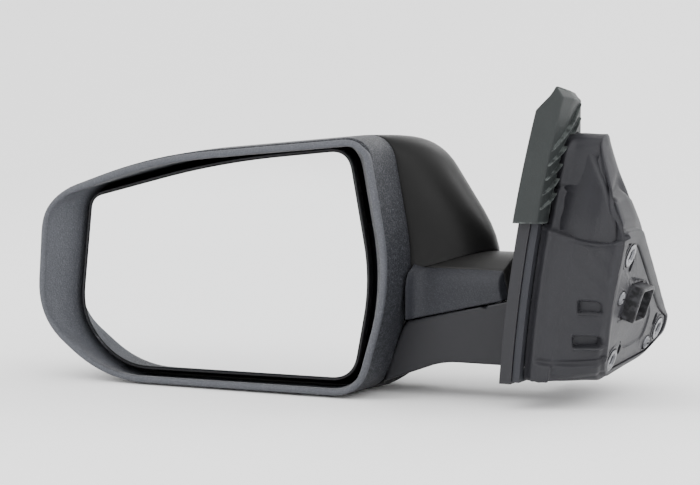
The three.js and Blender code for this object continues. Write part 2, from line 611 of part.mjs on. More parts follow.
// Rubber seal over the rear top corner of the sail, with a ribbed inboard flank.
const cornerSeal = () => {
  const low = 62;
  const high = 137;
  const steps = 8;
  const rings = Array.from({ length: steps + 1 }, (_, i) => {
    const t = i / steps;
    const z = low + (high - low) * t;
    const x = sailX(Math.min(z, SAIL_TOP));
    const pinch = 7 * Math.max(0, (t - 0.65) / 0.35) ** 2;
    return [
      [-2 + pinch * 0.8, -83.5 + pinch * 0.4], [10 - pinch * 0.4, -83.5 + pinch * 0.4],
      [17 - pinch, -78 + 10 * t], [17 - pinch, -50 + 14 * t - pinch * 2],
      [-2 + pinch * 0.8, -50 + 14 * t - pinch * 2],
    ].map(([depth, y]) => new THREE.Vector3(x + depth, y, z));
  });
  const ribs = Array.from({ length: 6 }, (_, i) => {
    const z = low + 14 + i * 9.5;
    const x = sailX(z) + 15;
    return box([x, -68, z], [x + 4, -44, z + 2.5]);
  });
  const body = union([loft(rings), ...ribs]);
  return biggest(cut(body, [
    sailBody(-GAP, SAIL_RIM + 4.8, -0.5, SAIL_TOP + 1),
    bootBody(-0.4),
  ]));
};

// Wiring: a round cable that follows a list of points.
const cable = (points, radius, steps) => {
  const path = new THREE.CatmullRomCurve3(points, false, 'centripetal');
  const section = new THREE.Shape(Array.from({ length: 7 }, (_, i) => new THREE.Vector2(
    radius * Math.cos(i * 2 * Math.PI / 7), radius * Math.sin(i * 2 * Math.PI / 7))));
  return toSolid(new THREE.ExtrudeGeometry(section, { steps, extrudePath: path }));
};
const onFold = (h) => new THREE.Vector3(0, 0, h).applyMatrix4(FOLD);
const at = (x, y, z) => new THREE.Vector3(x, y, z);
const CABLE_RADIUS = 2;
// The two looms meet inside the hollow post, where the real cable twists as the head folds.
const LOOM_SPLIT = 10;
const baseHarness = () => cable([
  at(-11, -36, 22), at(-20, -40, 20), at(-32, -43.5, 10), at(-41, -44, -4), at(-56, -42.5, -14),
  at(-76, -37, -15.5), at(-90, -31, -16), onFold(-18), onFold(-12), onFold(0), onFold(LOOM_SPLIT),
], CABLE_RADIUS, 34);
const headHarness = () => cable([
  onFold(LOOM_SPLIT + GAP), onFold(24), onFold(38), onFold(44), at(-124, -24, 58), at(-136, -8, 64),
  at(-152, 10, 62), at(-182, 15, 52), at(-212, 15, 42), at(-223, 8, 39), at(-223, -2, 39), at(-223, -12, 39),
], CABLE_RADIUS, 38);

// ---------------------------------------------------------------- assembly
addPart('bezel', bezel(), TEXTURED_BLACK);
addPart('skull_cap', skullCap(), SATIN_BLACK);
addPart('arm_cover', armCover(), SATIN_GREY);
addPart('head_frame', headFrame(), CAST_ALLOY);
addPart('mirror_glass', headPlate(GLASS_CORNERS, GLASS_Y, GLASS_Y + GLASS_THICK), MIRROR);
addPart('heater_film', headPlate(offset(GLASS_CORNERS, -6), GLASS_Y + GLASS_THICK + GAP,
  GLASS_Y + GLASS_THICK + 1), FILM);
addPart('glass_carrier', carrier(), BLACK_NYLON);
addPart('gimbal_ring', gimbalRing(), WHITE_NYLON);
addPart('actuator_case', actuatorCase(), BLACK_NYLON);
addPart('actuator_cover', actuatorCover(), BLACK_NYLON);
const tiltWorm = [0, DRIVE_Y, -DRIVE_ARM + WORM_OFFSET];
const panWorm = [-DRIVE_ARM + WORM_OFFSET, DRIVE_Y, 0];
addPart('tilt_jackscrew', jackscrew(0, -DRIVE_ARM), WHITE_NYLON);
addPart('pan_jackscrew', jackscrew(-DRIVE_ARM, 0), WHITE_NYLON);
addPart('tilt_worm_wheel', wormWheel(0, -DRIVE_ARM), WHITE_NYLON);
addPart('pan_worm_wheel', wormWheel(-DRIVE_ARM, 0), WHITE_NYLON);
addPart('tilt_worm', worm(tiltWorm, [1, 0, 0]), BRASS);
addPart('pan_worm', worm(panWorm, [0, 0, 1]), BRASS);
addPart('tilt_motor', motor(tiltWorm, [1, 0, 0]), STEEL);
addPart('pan_motor', motor(panWorm, [0, 0, 1]), STEEL);
addPart('pivot_post', pivotPost(), STEEL);
addPart('friction_washer', ring(POST_RADIUS + 0.4, BOSS_RADIUS - 0.5, -2.7, -0.7, FOLD), WHITE_NYLON);
addPart('fold_spring', foldSpring(), STEEL);
addPart('spring_washer', ring(POST_RADIUS + GAP, 9.2, 26.3, 27.7, FOLD), STEEL);
addPart('lock_ring', ring(POST_RADIUS + GAP, 8.6, 28, 29.8, FOLD), STEEL);
addPart('base_cover', baseCover(), SATIN_GREY);
addPart('door_gasket', doorGasket(), RUBBER);
addPart('sail_boot', sailBoot(), RUBBER);
addPart('mount_bracket', mountBracket(), CAST_ALLOY);
addPart('corner_seal', cornerSeal(), SEAL_RUBBER);
addPart('connector_housing', connectorHousing(), BLACK_NYLON);
addPart('connector_pins', connectorPins(), BRASS);
INSERTS.forEach((point, i) => addPart(`threaded_insert_${i + 1}`, threadedInsert(point), STEEL));
ACTUATOR_SCREWS.forEach((point, i) => addPart(`actuator_screw_${i + 1}`, actuatorScrew(point), STEEL));
addPart('base_harness', baseHarness(), CABLE);
addPart('head_harness', headHarness(), CABLE);
PLATE_SCREWS.forEach((point, i) => addPart(`plate_screw_${i + 1}`, plateScrew(point), STEEL));

export default group;
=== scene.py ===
"""Left door mirror of a car: the looks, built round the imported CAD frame.

Lengths in this file are millimetres in the row frame unless they end in _m. +Z is up, +X towards the door and
+Y towards the front of the car.
"""
import json
import math

import bmesh
import bpy
import numpy as np
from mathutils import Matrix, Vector


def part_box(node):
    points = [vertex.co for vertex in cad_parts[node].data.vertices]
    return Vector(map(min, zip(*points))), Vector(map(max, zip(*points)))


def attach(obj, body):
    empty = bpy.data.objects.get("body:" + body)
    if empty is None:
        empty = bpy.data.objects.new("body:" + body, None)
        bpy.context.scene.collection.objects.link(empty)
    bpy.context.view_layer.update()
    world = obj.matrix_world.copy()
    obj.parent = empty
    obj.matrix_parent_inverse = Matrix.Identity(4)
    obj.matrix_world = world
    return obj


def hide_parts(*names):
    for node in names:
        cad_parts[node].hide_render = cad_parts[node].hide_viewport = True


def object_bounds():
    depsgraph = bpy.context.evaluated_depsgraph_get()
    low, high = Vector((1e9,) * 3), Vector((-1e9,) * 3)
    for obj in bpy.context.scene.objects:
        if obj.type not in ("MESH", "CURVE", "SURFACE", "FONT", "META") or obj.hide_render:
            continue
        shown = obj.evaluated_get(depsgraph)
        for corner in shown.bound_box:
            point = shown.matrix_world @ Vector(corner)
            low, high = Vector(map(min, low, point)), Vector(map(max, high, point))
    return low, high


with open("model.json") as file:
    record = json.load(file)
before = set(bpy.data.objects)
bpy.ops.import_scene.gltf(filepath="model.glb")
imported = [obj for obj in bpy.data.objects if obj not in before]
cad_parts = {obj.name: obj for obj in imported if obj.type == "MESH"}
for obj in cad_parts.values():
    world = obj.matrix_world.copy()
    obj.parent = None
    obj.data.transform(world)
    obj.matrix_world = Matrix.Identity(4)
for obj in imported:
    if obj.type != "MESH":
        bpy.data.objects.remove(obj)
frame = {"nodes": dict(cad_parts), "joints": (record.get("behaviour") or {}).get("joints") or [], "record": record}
cad_low, cad_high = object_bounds()
MM = 0.001
WELD_M = 2e-6
GAP = 0.3
WALL = 2.5

# ------------------------------------------------------------------ places taken from the frame
# Outlines across the head, seen from the glass side: x, z, corner radius, about the middle of the glass.
LIP = [(-110, 37, 22), (-34, 63.5, 70), (105, 77, 16), (120.5, -5, 30), (101, -72, 18), (-68, -72.5, 28),
       (-115, -37, 24)]
GLASS = [(-88, 36, 7), (0, 59, 70), (84, 68, 12), (98, -7, 22), (87, -65, 14), (-68, -66, 20), (-96, -38, 26)]


def low(node):
    """Lowest corner of a CAD node, in millimetres."""
    return np.array(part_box(node)[0]) / MM


def high(node):
    """Highest corner of a CAD node, in millimetres."""
    return np.array(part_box(node)[1]) / MM


LIP_Y = low("bezel")[1]
SEAM_Y = low("skull_cap")[1] - GAP
NOSE_Y = 38.0
GLASS_Y = low("mirror_glass")[1]
GLASS_BACK = high("mirror_glass")[1]
# The bezel's opening stands this far outside the glass.
MOUTH = 6.2
FOLD = next(j for j in frame["joints"] if j["name"] == "fold")
FOLD_AT = np.array(FOLD["pos_m"]) / MM
FOLD_AXIS = np.array(FOLD["axis"])
PLATE_NORMAL = np.array(frame["record"]["mounts"][0]["axis"])
LEAN = math.atan2(-PLATE_NORMAL[2], PLATE_NORMAL[0])
INSERTS = [(-72, 46), (-43, -16), (31, -6)]
PLATE_SCREWS = [(-61, 21), (18, -13)]


# ------------------------------------------------------------------ outlines
def rounded(corners, arc=8, side=8):
    """Points round a polygon with rounded corners, the same number for every corner."""
    count = len(corners)
    starts, ends = [], []
    for i, (x, y, radius) in enumerate(corners):
        here = np.array((x, y), float)
        back = np.array(corners[i - 1][:2], float) - here
        ahead = np.array(corners[(i + 1) % count][:2], float) - here
        long_back, long_ahead = np.linalg.norm(back), np.linalg.norm(ahead)
        reach = min(radius, long_back * 0.48, long_ahead * 0.48)
        starts.append(here + back / long_back * reach)
        ends.append(here + ahead / long_ahead * reach)
    points = []
    for i, corner in enumerate(corners):
        here = np.array(corner[:2], float)
        for k in range(arc + 1):
            t = k / arc
            points.append((1 - t) ** 2 * starts[i] + 2 * t * (1 - t) * here + t * t * ends[i])
        following = starts[(i + 1) % count]
        for k in range(1, side):
            points.append(ends[i] + (following - ends[i]) * k / side)
    return np.array(points)


def offset(corners, distance):
    """Moves every corner of an outline square to its two sides, outwards if positive."""
    moved = []
    for i, (x, y, radius) in enumerate(corners):
        bx, by = corners[i - 1][:2]
        ax, ay = corners[(i + 1) % len(corners)][:2]
        first = np.array((x - bx, y - by), float)
        second = np.array((ax - x, ay - y), float)
        first /= np.linalg.norm(first)
        second /= np.linalg.norm(second)
        normal = np.array((-first[1] - second[1], first[0] + second[0]))
        scale = 2 * distance / (normal @ normal)
        moved.append((x + normal[0] * scale, y + normal[1] * scale, max(radius + distance * 1.2, 2)))
    return moved


def mixed(first, second, share):
    """Corners part of the way from one outline to another."""
    return [tuple(a + (b - a) * share for a, b in zip(p, q)) for p, q in zip(first, second)]


def normals(points):
    """Outward unit normals of a closed outline that goes round clockwise."""
    ahead = np.roll(points, -1, 0) - np.roll(points, 1, 0)
    out = np.stack([-ahead[:, 1], ahead[:, 0]], 1)
    return out / np.linalg.norm(out, axis=1, keepdims=True)


def smooth(value, start, end):
    """Rises smoothly from 0 at start to 1 at end."""
    t = np.clip((np.asarray(value, float) - start) / (end - start), 0, 1)
    return t * t * (3 - 2 * t)


HEAD_AT = (np.array((low("mirror_glass")[0], low("mirror_glass")[2]))
           - rounded(GLASS, 16, 2).min(0))


# ------------------------------------------------------------------ meshes
def make(name, vertices, faces):
    """A mesh object from vertices in millimetres, with its normals turned outwards."""
    mesh = bpy.data.meshes.new(name)
    mesh.from_pydata([tuple(v * MM for v in p) for p in vertices], [], faces)
    work = bmesh.new()
    work.from_mesh(mesh)
    bmesh.ops.remove_doubles(work, verts=work.verts, dist=WELD_M)
    bmesh.ops.dissolve_degenerate(work, edges=work.edges, dist=1e-6)
    bmesh.ops.recalc_face_normals(work, faces=work.faces)
    work.to_mesh(mesh)
    work.free()
    made = bpy.data.objects.new(name, mesh)
    bpy.context.scene.collection.objects.link(made)
    return made


def loft(name, rings, caps=True, wrap=False):
    """Joins rings of points, one after another; wrap joins the last ring back to the first."""
    count = len(rings[0])
    vertices = [tuple(p) for ring in rings for p in ring]
    faces = []
    last = len(rings) if wrap else len(rings) - 1
    for k in range(last):
        here, there = k * count, ((k + 1) % len(rings)) * count
        for i in range(count):
            j = (i + 1) % count
            faces.append((here + i, here + j, there + j, there + i))
    if caps:
        for k, ring in ((0, rings[0]), (len(rings) - 1, rings[-1])):
            middle = len(vertices)
            vertices.append(tuple(np.mean(ring, 0)))
            for i in range(count):
                faces.append((middle, k * count + i, k * count + (i + 1) % count))
    return make(name, vertices, faces)


def baked(piece):
    """Turns a piece's modifiers into its mesh."""
    graph = bpy.context.evaluated_depsgraph_get()
    mesh = bpy.data.meshes.new_from_object(piece.evaluated_get(graph))
    piece.modifiers.clear()
    piece.data = mesh
    return piece


def combine(piece, tools, kind="DIFFERENCE"):
    """Cuts other pieces from this one, joins them to it, or keeps what they share; the tools are used up."""
    for tool in tools:
        step = piece.modifiers.new("combine", "BOOLEAN")
        step.operation = kind
        step.solver = "EXACT"
        step.object = tool
        baked(piece)
        bpy.data.objects.remove(tool)
    return piece


def soften(piece, width, angle=30, segments=3, sharp=38):
    """Rounds a piece's sharp edges by a width in millimetres, and smooths its shading."""
    if width:
        step = piece.modifiers.new("round", "BEVEL")
        step.width = width * MM
        step.segments = segments
        step.limit_method = "ANGLE"
        step.angle_limit = math.radians(angle)
        step.use_clamp_overlap = True
        step.harden_normals = False
        baked(piece)
    piece.data.shade_smooth()
    piece.data.set_sharp_from_angle(angle=math.radians(sharp))
    step = piece.modifiers.new("even", "WEIGHTED_NORMAL")
    step.keep_sharp = True
    step.weight = 60
    baked(piece)
    return piece


def evened(piece):
    """Smooths the shading of a piece whose edges are rounded in its mesh."""
    piece.data.shade_smooth()
    return piece


def melted(piece, size, passes=6):
    """Runs a piece's faces into one even skin, which rounds every edge a little."""
    step = piece.modifiers.new("skin", "REMESH")
    step.mode = "VOXEL"
    step.voxel_size = size * MM
    baked(piece)
    step = piece.modifiers.new("relax", "SMOOTH")
    step.factor = 0.5
    step.iterations = passes
    baked(piece)
    piece.data.shade_smooth()
    return piece


def block(name, lowest, highest, turn=None):
    """A box between two corners, used as a cutting tool."""
    (x0, y0, z0), (x1, y1, z1) = lowest, highest
    points = np.array([(x, y, z) for x in (x0, x1) for y in (y0, y1) for z in (z0, z1)], float)
    if turn is not None:
        points = turn(points)
    faces = [(0, 1, 3, 2), (4, 6, 7, 5), (0, 4, 5, 1), (2, 3, 7, 6), (0, 2, 6, 4), (1, 5, 7, 3)]
    return make(name, points, faces)


def turned(name, profile, place, segments=64):
    """A turned piece from radius and height pairs; place puts its points, along +Z, into the row frame."""
    rings = []
    for radius, height in profile:
        angle = np.arange(segments) * 2 * math.pi / segments
        radius = max(radius, 1e-4)
        rings.append(place(np.stack([radius * np.cos(angle), radius * np.sin(angle),
                                     np.full(segments, height)], 1)))
    closed = profile[0] == profile[-1]
    if closed:
        return loft(name, rings[:-1], caps=False, wrap=True)
    return loft(name, rings)


def placed(axis, origin):
    """Turns +Z of a set of points to an axis and moves them to an origin."""
    matrix = np.array(Vector((0, 0, 1)).rotation_difference(Vector(axis)).to_matrix())
    return lambda points: points @ matrix.T + np.array(origin, float)


on_fold = placed(FOLD_AXIS, FOLD_AT)


def on_plate(points):
    """Puts depth, forward and height on the mounting plate into the row frame."""
    x, y, z = points[:, 0], points[:, 1], points[:, 2]
    return np.stack([x * math.cos(LEAN) + z * math.sin(LEAN), y, -x * math.sin(LEAN) + z * math.cos(LEAN)], 1)


def plate_point(y, z, depth=0.0):
    """A point of the plate, given by its forward position and the height it has on the face."""
    return on_plate(np.array([(depth, y, z / math.cos(LEAN))]))[0]


def head_ring(points, y):
    """Puts an outline across the head, at one depth, into the row frame."""
    return np.stack([points[:, 0] + HEAD_AT[0], np.full(len(points), float(y)), points[:, 1] + HEAD_AT[1]], 1)


def across(corners, y):
    """A ring of points across the head at one depth, with ten steps to a corner and to a side."""
    return head_ring(rounded(corners, 10, 10), y)


# ------------------------------------------------------------------ materials
class Paint:
    """Builds one material from nodes."""

    def __init__(self, name):
        self.material = bpy.data.materials.new(name)
        self.material.use_nodes = True
        self.tree = self.material.node_tree
        self.tree.nodes.clear()
        self.shader = self.node("ShaderNodeBsdfPrincipled")
        output = self.node("ShaderNodeOutputMaterial")
        self.link(self.shader.outputs[0], output.inputs["Surface"])
        self.place = self.node("ShaderNodeTexCoord").outputs["Object"]

    def node(self, kind, **values):
        """A new node with some of its settings."""
        made = self.tree.nodes.new(kind)
        for key, value in values.items():
            setattr(made, key, value)
        return made

    def link(self, output, socket):
        self.tree.links.new(output, socket)

    def noise(self, size_mm, detail=3.0, rough=0.55):
        """Noise whose blobs are about this many millimetres across."""
        made = self.node("ShaderNodeTexNoise")
        made.inputs["Scale"].default_value = 1 / (size_mm * MM)
        made.inputs["Detail"].default_value = detail
        made.inputs["Roughness"].default_value = rough
        self.link(self.place, made.inputs["Vector"])
        return made.outputs["Fac"]

    def grains(self, size_mm):
        """Cells about this many millimetres apart."""
        made = self.node("ShaderNodeTexVoronoi")
        made.inputs["Scale"].default_value = 1 / (size_mm * MM)
        self.link(self.place, made.inputs["Vector"])
        return made.outputs

    def cells(self, size_mm):
        """Distance to the middle of the nearest grain."""
        return self.grains(size_mm)["Distance"]

    def specks(self, size_mm):
        """A different grey for each grain, from its random colour."""
        return self.maths("MULTIPLY", self.grains(size_mm)["Color"], 1.0)

    def spread(self, value, start, end, to_start=0.0, to_end=1.0):
        """Maps a range of values to another."""
        made = self.node("ShaderNodeMapRange")
        made.inputs["From Min"].default_value = start
        made.inputs["From Max"].default_value = end
        made.inputs["To Min"].default_value = to_start
        made.inputs["To Max"].default_value = to_end
        self.link(value, made.inputs["Value"])
        return made.outputs["Result"]

    def maths(self, kind, first, second):
        """One sum on two values, each a number or another node's output."""
        made = self.node("ShaderNodeMath", operation=kind)
        for socket, value in zip(made.inputs, (first, second)):
            if isinstance(value, (int, float)):
                socket.default_value = value
            else:
                self.link(value, socket)
        return made.outputs[0]

    def blend(self, share, first, second):
        """A colour part of the way between two."""
        made = self.node("ShaderNodeMix", data_type="RGBA")
        self.link(share, made.inputs["Factor"])
        for socket, value in ((made.inputs[6], first), (made.inputs[7], second)):
            if isinstance(value, tuple):
                socket.default_value = (*value, 1)
            else:
                self.link(value, socket)
        return made.outputs[2]

    def bump(self, height, strength, distance_mm):
        """Relief from a height that is this many millimetres deep."""
        made = self.node("ShaderNodeBump")
        made.inputs["Strength"].default_value = strength
        made.inputs["Distance"].default_value = distance_mm * MM
        self.link(height, made.inputs["Height"])
        return made.outputs["Normal"]

    def edges(self):
        """1 along convex edges, where handling wears the surface and where a painted highlight stands for light
        catching the edge.
        """
        return self.spread(self.node("ShaderNodeNewGeometry").outputs["Pointiness"], 0.56, 0.72)

    def set(self, **values):
        """Sets the shader's sockets, each to a number, a colour or another node's output."""
        for key, value in values.items():
            socket = self.shader.inputs[key.replace("_", " ")]
            if isinstance(value, tuple):
                socket.default_value = (*value, 1)
            elif isinstance(value, (int, float)):
                socket.default_value = value
            else:
                self.link(value, socket)
        return self.material


def clouded(paint, clouds, colour):
    """A colour that drifts a little darker and lighter."""
    return paint.blend(clouds, tuple(c * 0.86 for c in colour), tuple(c * 1.12 for c in colour))


def moulded(name, colour, grain_wear_and_highlight, rough, grain_mm, grain_deep, speckle=0.0, sheen=0.22, lip=None):
    """Moulded plastic or rubber: fine grain, cloudy roughness, paler along its edges as wear and as painted
    highlight.

    The second colour is the colour of the grains, as far as speckle mixes it in, and of the edges, where it is
    partly wear and partly painted highlight. lip is a paler colour, painted as painted light where the mesh
    attribute of that name is 1.
    """
    paint = Paint(name)
    clouds = paint.noise(28, 2)
    grain = paint.noise(grain_mm, 2.5, 0.6)
    fine = paint.cells(grain_mm * 1.3)
    height = paint.maths("ADD", grain, paint.maths("MULTIPLY", fine, 0.5))
    shade = clouded(paint, clouds, colour)
    # Painted light: the paler lip colour stands for light falling on the rolled lip and on the inside flare that
    # faces +X.
    if lip:
        lip_light_mask = paint.node("ShaderNodeAttribute", attribute_name="lip").outputs["Fac"]
        shade = paint.blend(lip_light_mask, shade, clouded(paint, clouds, lip))
    if speckle:
        share = paint.maths("MULTIPLY", paint.spread(paint.specks(grain_mm * 0.62), 0.5, 0.9), speckle)
        shade = paint.blend(share, shade, grain_wear_and_highlight)
    # Pale edges: partly wear, partly painted highlight where light would catch a rounded edge.
    scuffs_and_highlights = paint.maths("MULTIPLY", paint.edges(), paint.spread(paint.noise(3.5, 3), 0.42, 0.62, 0.05, 0.45))
    shade = paint.blend(scuffs_and_highlights, shade, grain_wear_and_highlight)
    roughness = paint.spread(paint.maths("ADD", clouds, paint.maths("MULTIPLY", grain, 0.5)), 0.4, 1.1,
                             max(rough - 0.07, 0.02), rough + 0.08)
    return paint.set(Base_Color=shade, Roughness=roughness, Specular_IOR_Level=sheen,
                     Normal=paint.bump(height, grain_deep, grain_mm * 0.35))


def metal(name, colour, rough, brushed_mm=0.25, spots=0.0):
    """Plated or machined metal with fine tool marks and dull patches."""
    paint = Paint(name)
    marks = paint.noise(brushed_mm, 3, 0.65)
    patches = paint.noise(2.5, 3)
    dull = tuple(c * (1 - 0.45 * spots - 0.12) for c in colour)
    shade = paint.blend(paint.spread(patches, 0.35, 0.7), colour, dull)
    roughness = paint.spread(patches, 0.3, 0.7, max(rough - 0.08, 0.05), rough + 0.14)
    return paint.set(Base_Color=shade, Metallic=1.0, Roughness=roughness,
                     Normal=paint.bump(marks, 0.25, 0.05))


def mirror(name):
    """Mirror glass: clean, with the faintest unevenness in its gloss."""
    paint = Paint(name)
    haze = paint.noise(45, 2)
    shade = paint.blend(haze, (0.955, 0.965, 0.97), (0.985, 0.985, 0.985))
    return paint.set(Base_Color=shade, Metallic=1.0, Roughness=paint.spread(haze, 0.3, 0.7, 0.012, 0.03),
                     Normal=paint.bump(paint.noise(60, 1), 0.01, 0.05))


# lip= is a paler colour painted on the bezel's rolled lip and +X-facing inside flare as painted light.
TEXTURED = moulded("textured_black_plastic", (0.016, 0.017, 0.021), (0.125, 0.13, 0.145), 0.55, 0.85, 0.75,
                   speckle=0.5, lip=(0.066, 0.069, 0.079))
ARM_TEXTURED = moulded("textured_arm_plastic", (0.021, 0.022, 0.027), (0.09, 0.093, 0.105), 0.46, 0.6, 0.75,
                       speckle=0.22)
SATIN_BLACK = moulded("satin_black_plastic", (0.006, 0.006, 0.006), (0.05, 0.05, 0.05), 0.36, 0.35, 0.10,
                      sheen=0.17)
# Its pale edge colour is a painted highlight along the foot's rounded top edge.
SATIN_GREY = moulded("satin_grey_plastic", (0.022, 0.022, 0.025), (0.24, 0.24, 0.25), 0.40, 0.35, 0.12)
ARM_GREY = moulded("satin_arm_plastic", (0.014, 0.0138, 0.0135), (0.07, 0.07, 0.07), 0.40, 0.35, 0.10)
GASKET = moulded("gasket_rubber", (0.026, 0.027, 0.032), (0.16, 0.16, 0.17), 0.58, 0.6, 0.35)
# Its pale edge colour paints highlights along the boot's ledges and creases.
BOOT = moulded("boot_rubber", (0.021, 0.021, 0.0245), (0.24, 0.24, 0.25), 0.46, 0.7, 0.30)
SEAL = moulded("seal_rubber", (0.022, 0.025, 0.025), (0.13, 0.145, 0.14), 0.45, 0.8, 0.25)
NYLON = moulded("black_nylon", (0.012, 0.012, 0.013), (0.10, 0.10, 0.11), 0.42, 0.4, 0.15)
CARRIER = moulded("carrier_plastic", (0.020, 0.020, 0.022), (0.13, 0.13, 0.14), 0.42, 0.5, 0.15)
WHITE = moulded("white_nylon", (0.66, 0.65, 0.60), (0.80, 0.79, 0.76), 0.42, 0.5, 0.12)
ALLOY = moulded("cast_alloy", (0.024, 0.024, 0.028), (0.04, 0.04, 0.044), 0.45, 0.9, 0.35)
CABLE = moulded("cable_sheath", (0.012, 0.012, 0.012), (0.05, 0.05, 0.05), 0.5, 0.8, 0.2)
FILM = moulded("heater_film", (0.11, 0.075, 0.035), (0.3, 0.24, 0.15), 0.4, 1.2, 0.1)
ZINC = metal("zinc_steel", (0.17, 0.172, 0.185), 0.30, 0.4, 0.6)
STEEL = metal("steel", (0.50, 0.50, 0.51), 0.32)
SPRING = metal("spring_steel", (0.34, 0.34, 0.35), 0.38, 0.3, 0.4)
MOTOR = metal("motor_steel", (0.58, 0.58, 0.59), 0.3)
TINNED = metal("terminal_brass", (0.62, 0.60, 0.52), 0.28)
BRASS = metal("worm_brass", (0.60, 0.45, 0.19), 0.3)
MIRROR = mirror("mirror_glass")


def done(piece, material, body, slot, *nodes):
    """Paints a piece, lets it ride on its body and puts it in the place of CAD nodes."""
    piece.data.materials.clear()
    piece.data.materials.append(material)
    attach(piece, body)
    if nodes:
        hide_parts(*nodes)
    return piece


# ------------------------------------------------------------------ head: bezel
# The outer wall from seam to groove: growth over the lip's outline, and distance behind the seam.
BEZEL_WALL = ((-1.5, -0.9), (0.2, -0.9), (0.6, -0.6), (0.75, 0), (0.8, 1.5), (0.8, 6), (0.7, 12), (0.5, 19),
              (0.25, 25), (0.12, 28.4))
# The groove along the top, in shares of its depth, and distance behind the seam.
GROOVE = ((0.0, 29.4), (0.12, 29.8), (0.6, 30.0), (0.95, 30.3), (1.0, 30.8), (0.98, 31.3), (0.75, 31.7))
GROOVE_DEEP = 1.9
LIP_RADIUS = 2.0
LIP_MIDDLE = SEAM_Y - 32.45
LIP_DIP = 0.75


def bezel_rim():
    """The ring round the glass: outer wall, a groove along its top, the rolled lip and the flared inside."""
    base = rounded(LIP, 10, 10)
    outward = normals(base)
    top = smooth(outward[:, 1], 0.35, 0.8)
    rings = []

    def row(grow, y, extra=0.0):
        points = rounded(offset(LIP, grow), 10, 10)
        points = points + outward * np.reshape(extra, (-1, 1) if np.ndim(extra) else 1)
        rings.append(head_ring(points, y))

    for grow, behind in BEZEL_WALL:
        row(grow, SEAM_Y - behind)
    for share, behind in GROOVE:
        row(0.1 - 0.1 * share, SEAM_Y - behind, -GROOVE_DEEP * share * top)
    for angle in np.radians(np.linspace(12, 172, 15)):
        row(-LIP_RADIUS + LIP_RADIUS * math.cos(angle), LIP_MIDDLE - LIP_RADIUS * math.sin(angle),
            -LIP_DIP * top)
    # the inside flares back from the lip to the opening round the glass
    inner = offset(LIP, -2 * LIP_RADIUS - 0.1)
    mouth = offset(GLASS, MOUTH)
    for t in np.linspace(0, 1, 12):
        share = t + 0.10 * math.sin(math.pi * t)
        points = rounded(mixed(inner, mouth, min(share, 1)), 10, 10)
        points = points + outward * (-LIP_DIP * top * (1 - t) ** 2)[:, None]
        rings.append(head_ring(points, LIP_MIDDLE + 0.9 + (GLASS_BACK + 1 - LIP_MIDDLE - 0.9) * t))
    for y in (GLASS_BACK + 6, SEAM_Y + 0.9):
        rings.append(across(mouth, y))
    return loft("bezel_rim", rings, caps=False, wrap=True)


def paint_lip_light(piece):
    """Marks the rolled lip and the inside flare that faces +X, which are painted paler than the outer wall as
    painted light.
    """
    mesh = piece.data
    count = len(mesh.vertices)
    place = np.empty(count * 3)
    normal = np.empty(count * 3)
    mesh.vertices.foreach_get("co", place)
    mesh.vertices.foreach_get("normal", normal)
    place, normal = place.reshape(-1, 3) / MM, normal.reshape(-1, 3)
    outward = place[:, [0, 2]] - HEAD_AT
    outward /= np.linalg.norm(outward, axis=1, keepdims=True)
    facing = (outward * normal[:, [0, 2]]).sum(1)
    # Painted light: the rolled lip, and the inside flare where its normal points to +X, are marked for the paler
    # painted colour.
    roll = smooth(-place[:, 1], -LIP_Y - 4.2, -LIP_Y - 3.4)
    flare = smooth(-facing, 0.05, 0.3) * smooth(normal[:, 0], 0.2, 0.5)
    inside = smooth(-facing, 0.05, 0.3) * (1 - smooth(-place[:, 1], -LIP_Y - 2.5, -LIP_Y - 1.0))
    share = np.maximum(roll * (1 - inside), flare)
    mesh.attributes.new("lip", "FLOAT", "POINT").data.foreach_set("value", share)
    return piece


# ------------------------------------------------------------------ arm
ARM_RADIUS = 42.0
ARM_REAR = -50.0
ARM_FRONT = 6.0
ARM_TOP = 36.0
ARM_EDGE = 27.8
ARM_CREST = 42.0
# Heights along the fold axis of the arm's underside and of the foot's top, either side of the joint plane.
ARM_LOW = 0.4
FOOT_HIGH = -0.3
# The arm's plan ends inside the bezel, this far from the fold axis.
ARM_ROOT = -62
# Room for the hub's stops, the spring and the end of the post: radius and height along the fold axis.
ARM_ROOM = [(0, -2), (18, -2), (18, 10), (12, 10), (12, 26), (7, 26), (7, 32.3), (0, 32.3)]


def arm_body(name, inset=0.0, flare=0.0):
    """The knuckle of the arm above the joint face; flare widens its rear wall where it meets the bezel."""
    radius = ARM_RADIUS - inset
    front = ARM_FRONT - FOLD_AT[1] - inset
    angles = np.linspace(math.radians(-86), math.asin(front / radius), 64)
    plan = [(ARM_ROOT, radius * math.sin(angles[0]))]
    plan += [(radius * math.cos(a), radius * math.sin(a)) for a in angles]
    plan += [(ARM_ROOT, front)]
    levels = [on_fold(np.array([(x, y, h) for x, y in plan])) for h in (ARM_LOW + inset, 70)]
    drum = loft(name, levels)
    rings = []
    for x in np.concatenate([[-200], np.linspace(-126, -108, 19), [0]]):
        reach = 9.0
        t = np.clip((x + 122.5) / reach, 0, 1)
        out = flare * reach * (1 - math.sqrt(max(1 - (1 - t) ** 2, 0)))
        profile = offset([(ARM_REAR - out, -70, 1), (ARM_REAR - out, ARM_EDGE, 8), (-28, ARM_CREST, 20),
                          (ARM_FRONT, ARM_TOP, 14), (ARM_FRONT, -70, 1)], -inset)
        points = rounded(profile, 10, 3)
        rings.append(np.stack([np.full(len(points), x), points[:, 0], points[:, 1]], 1))
    return combine(drum, [loft("slice", rings)], "INTERSECT")


def foot_cone(name, extra):
    """Room round the fold axis that the fixed foot fills."""
    profile = [(0, -60), (66 + extra, -60), (34 + extra, -4), (30 + extra, ARM_LOW), (0, ARM_LOW)]
    return turned(name, profile, on_fold, 96)


def arm_room():
    """Room in the arm for what turns on the fold axis."""
    return turned("room", ARM_ROOM, on_fold, 48)


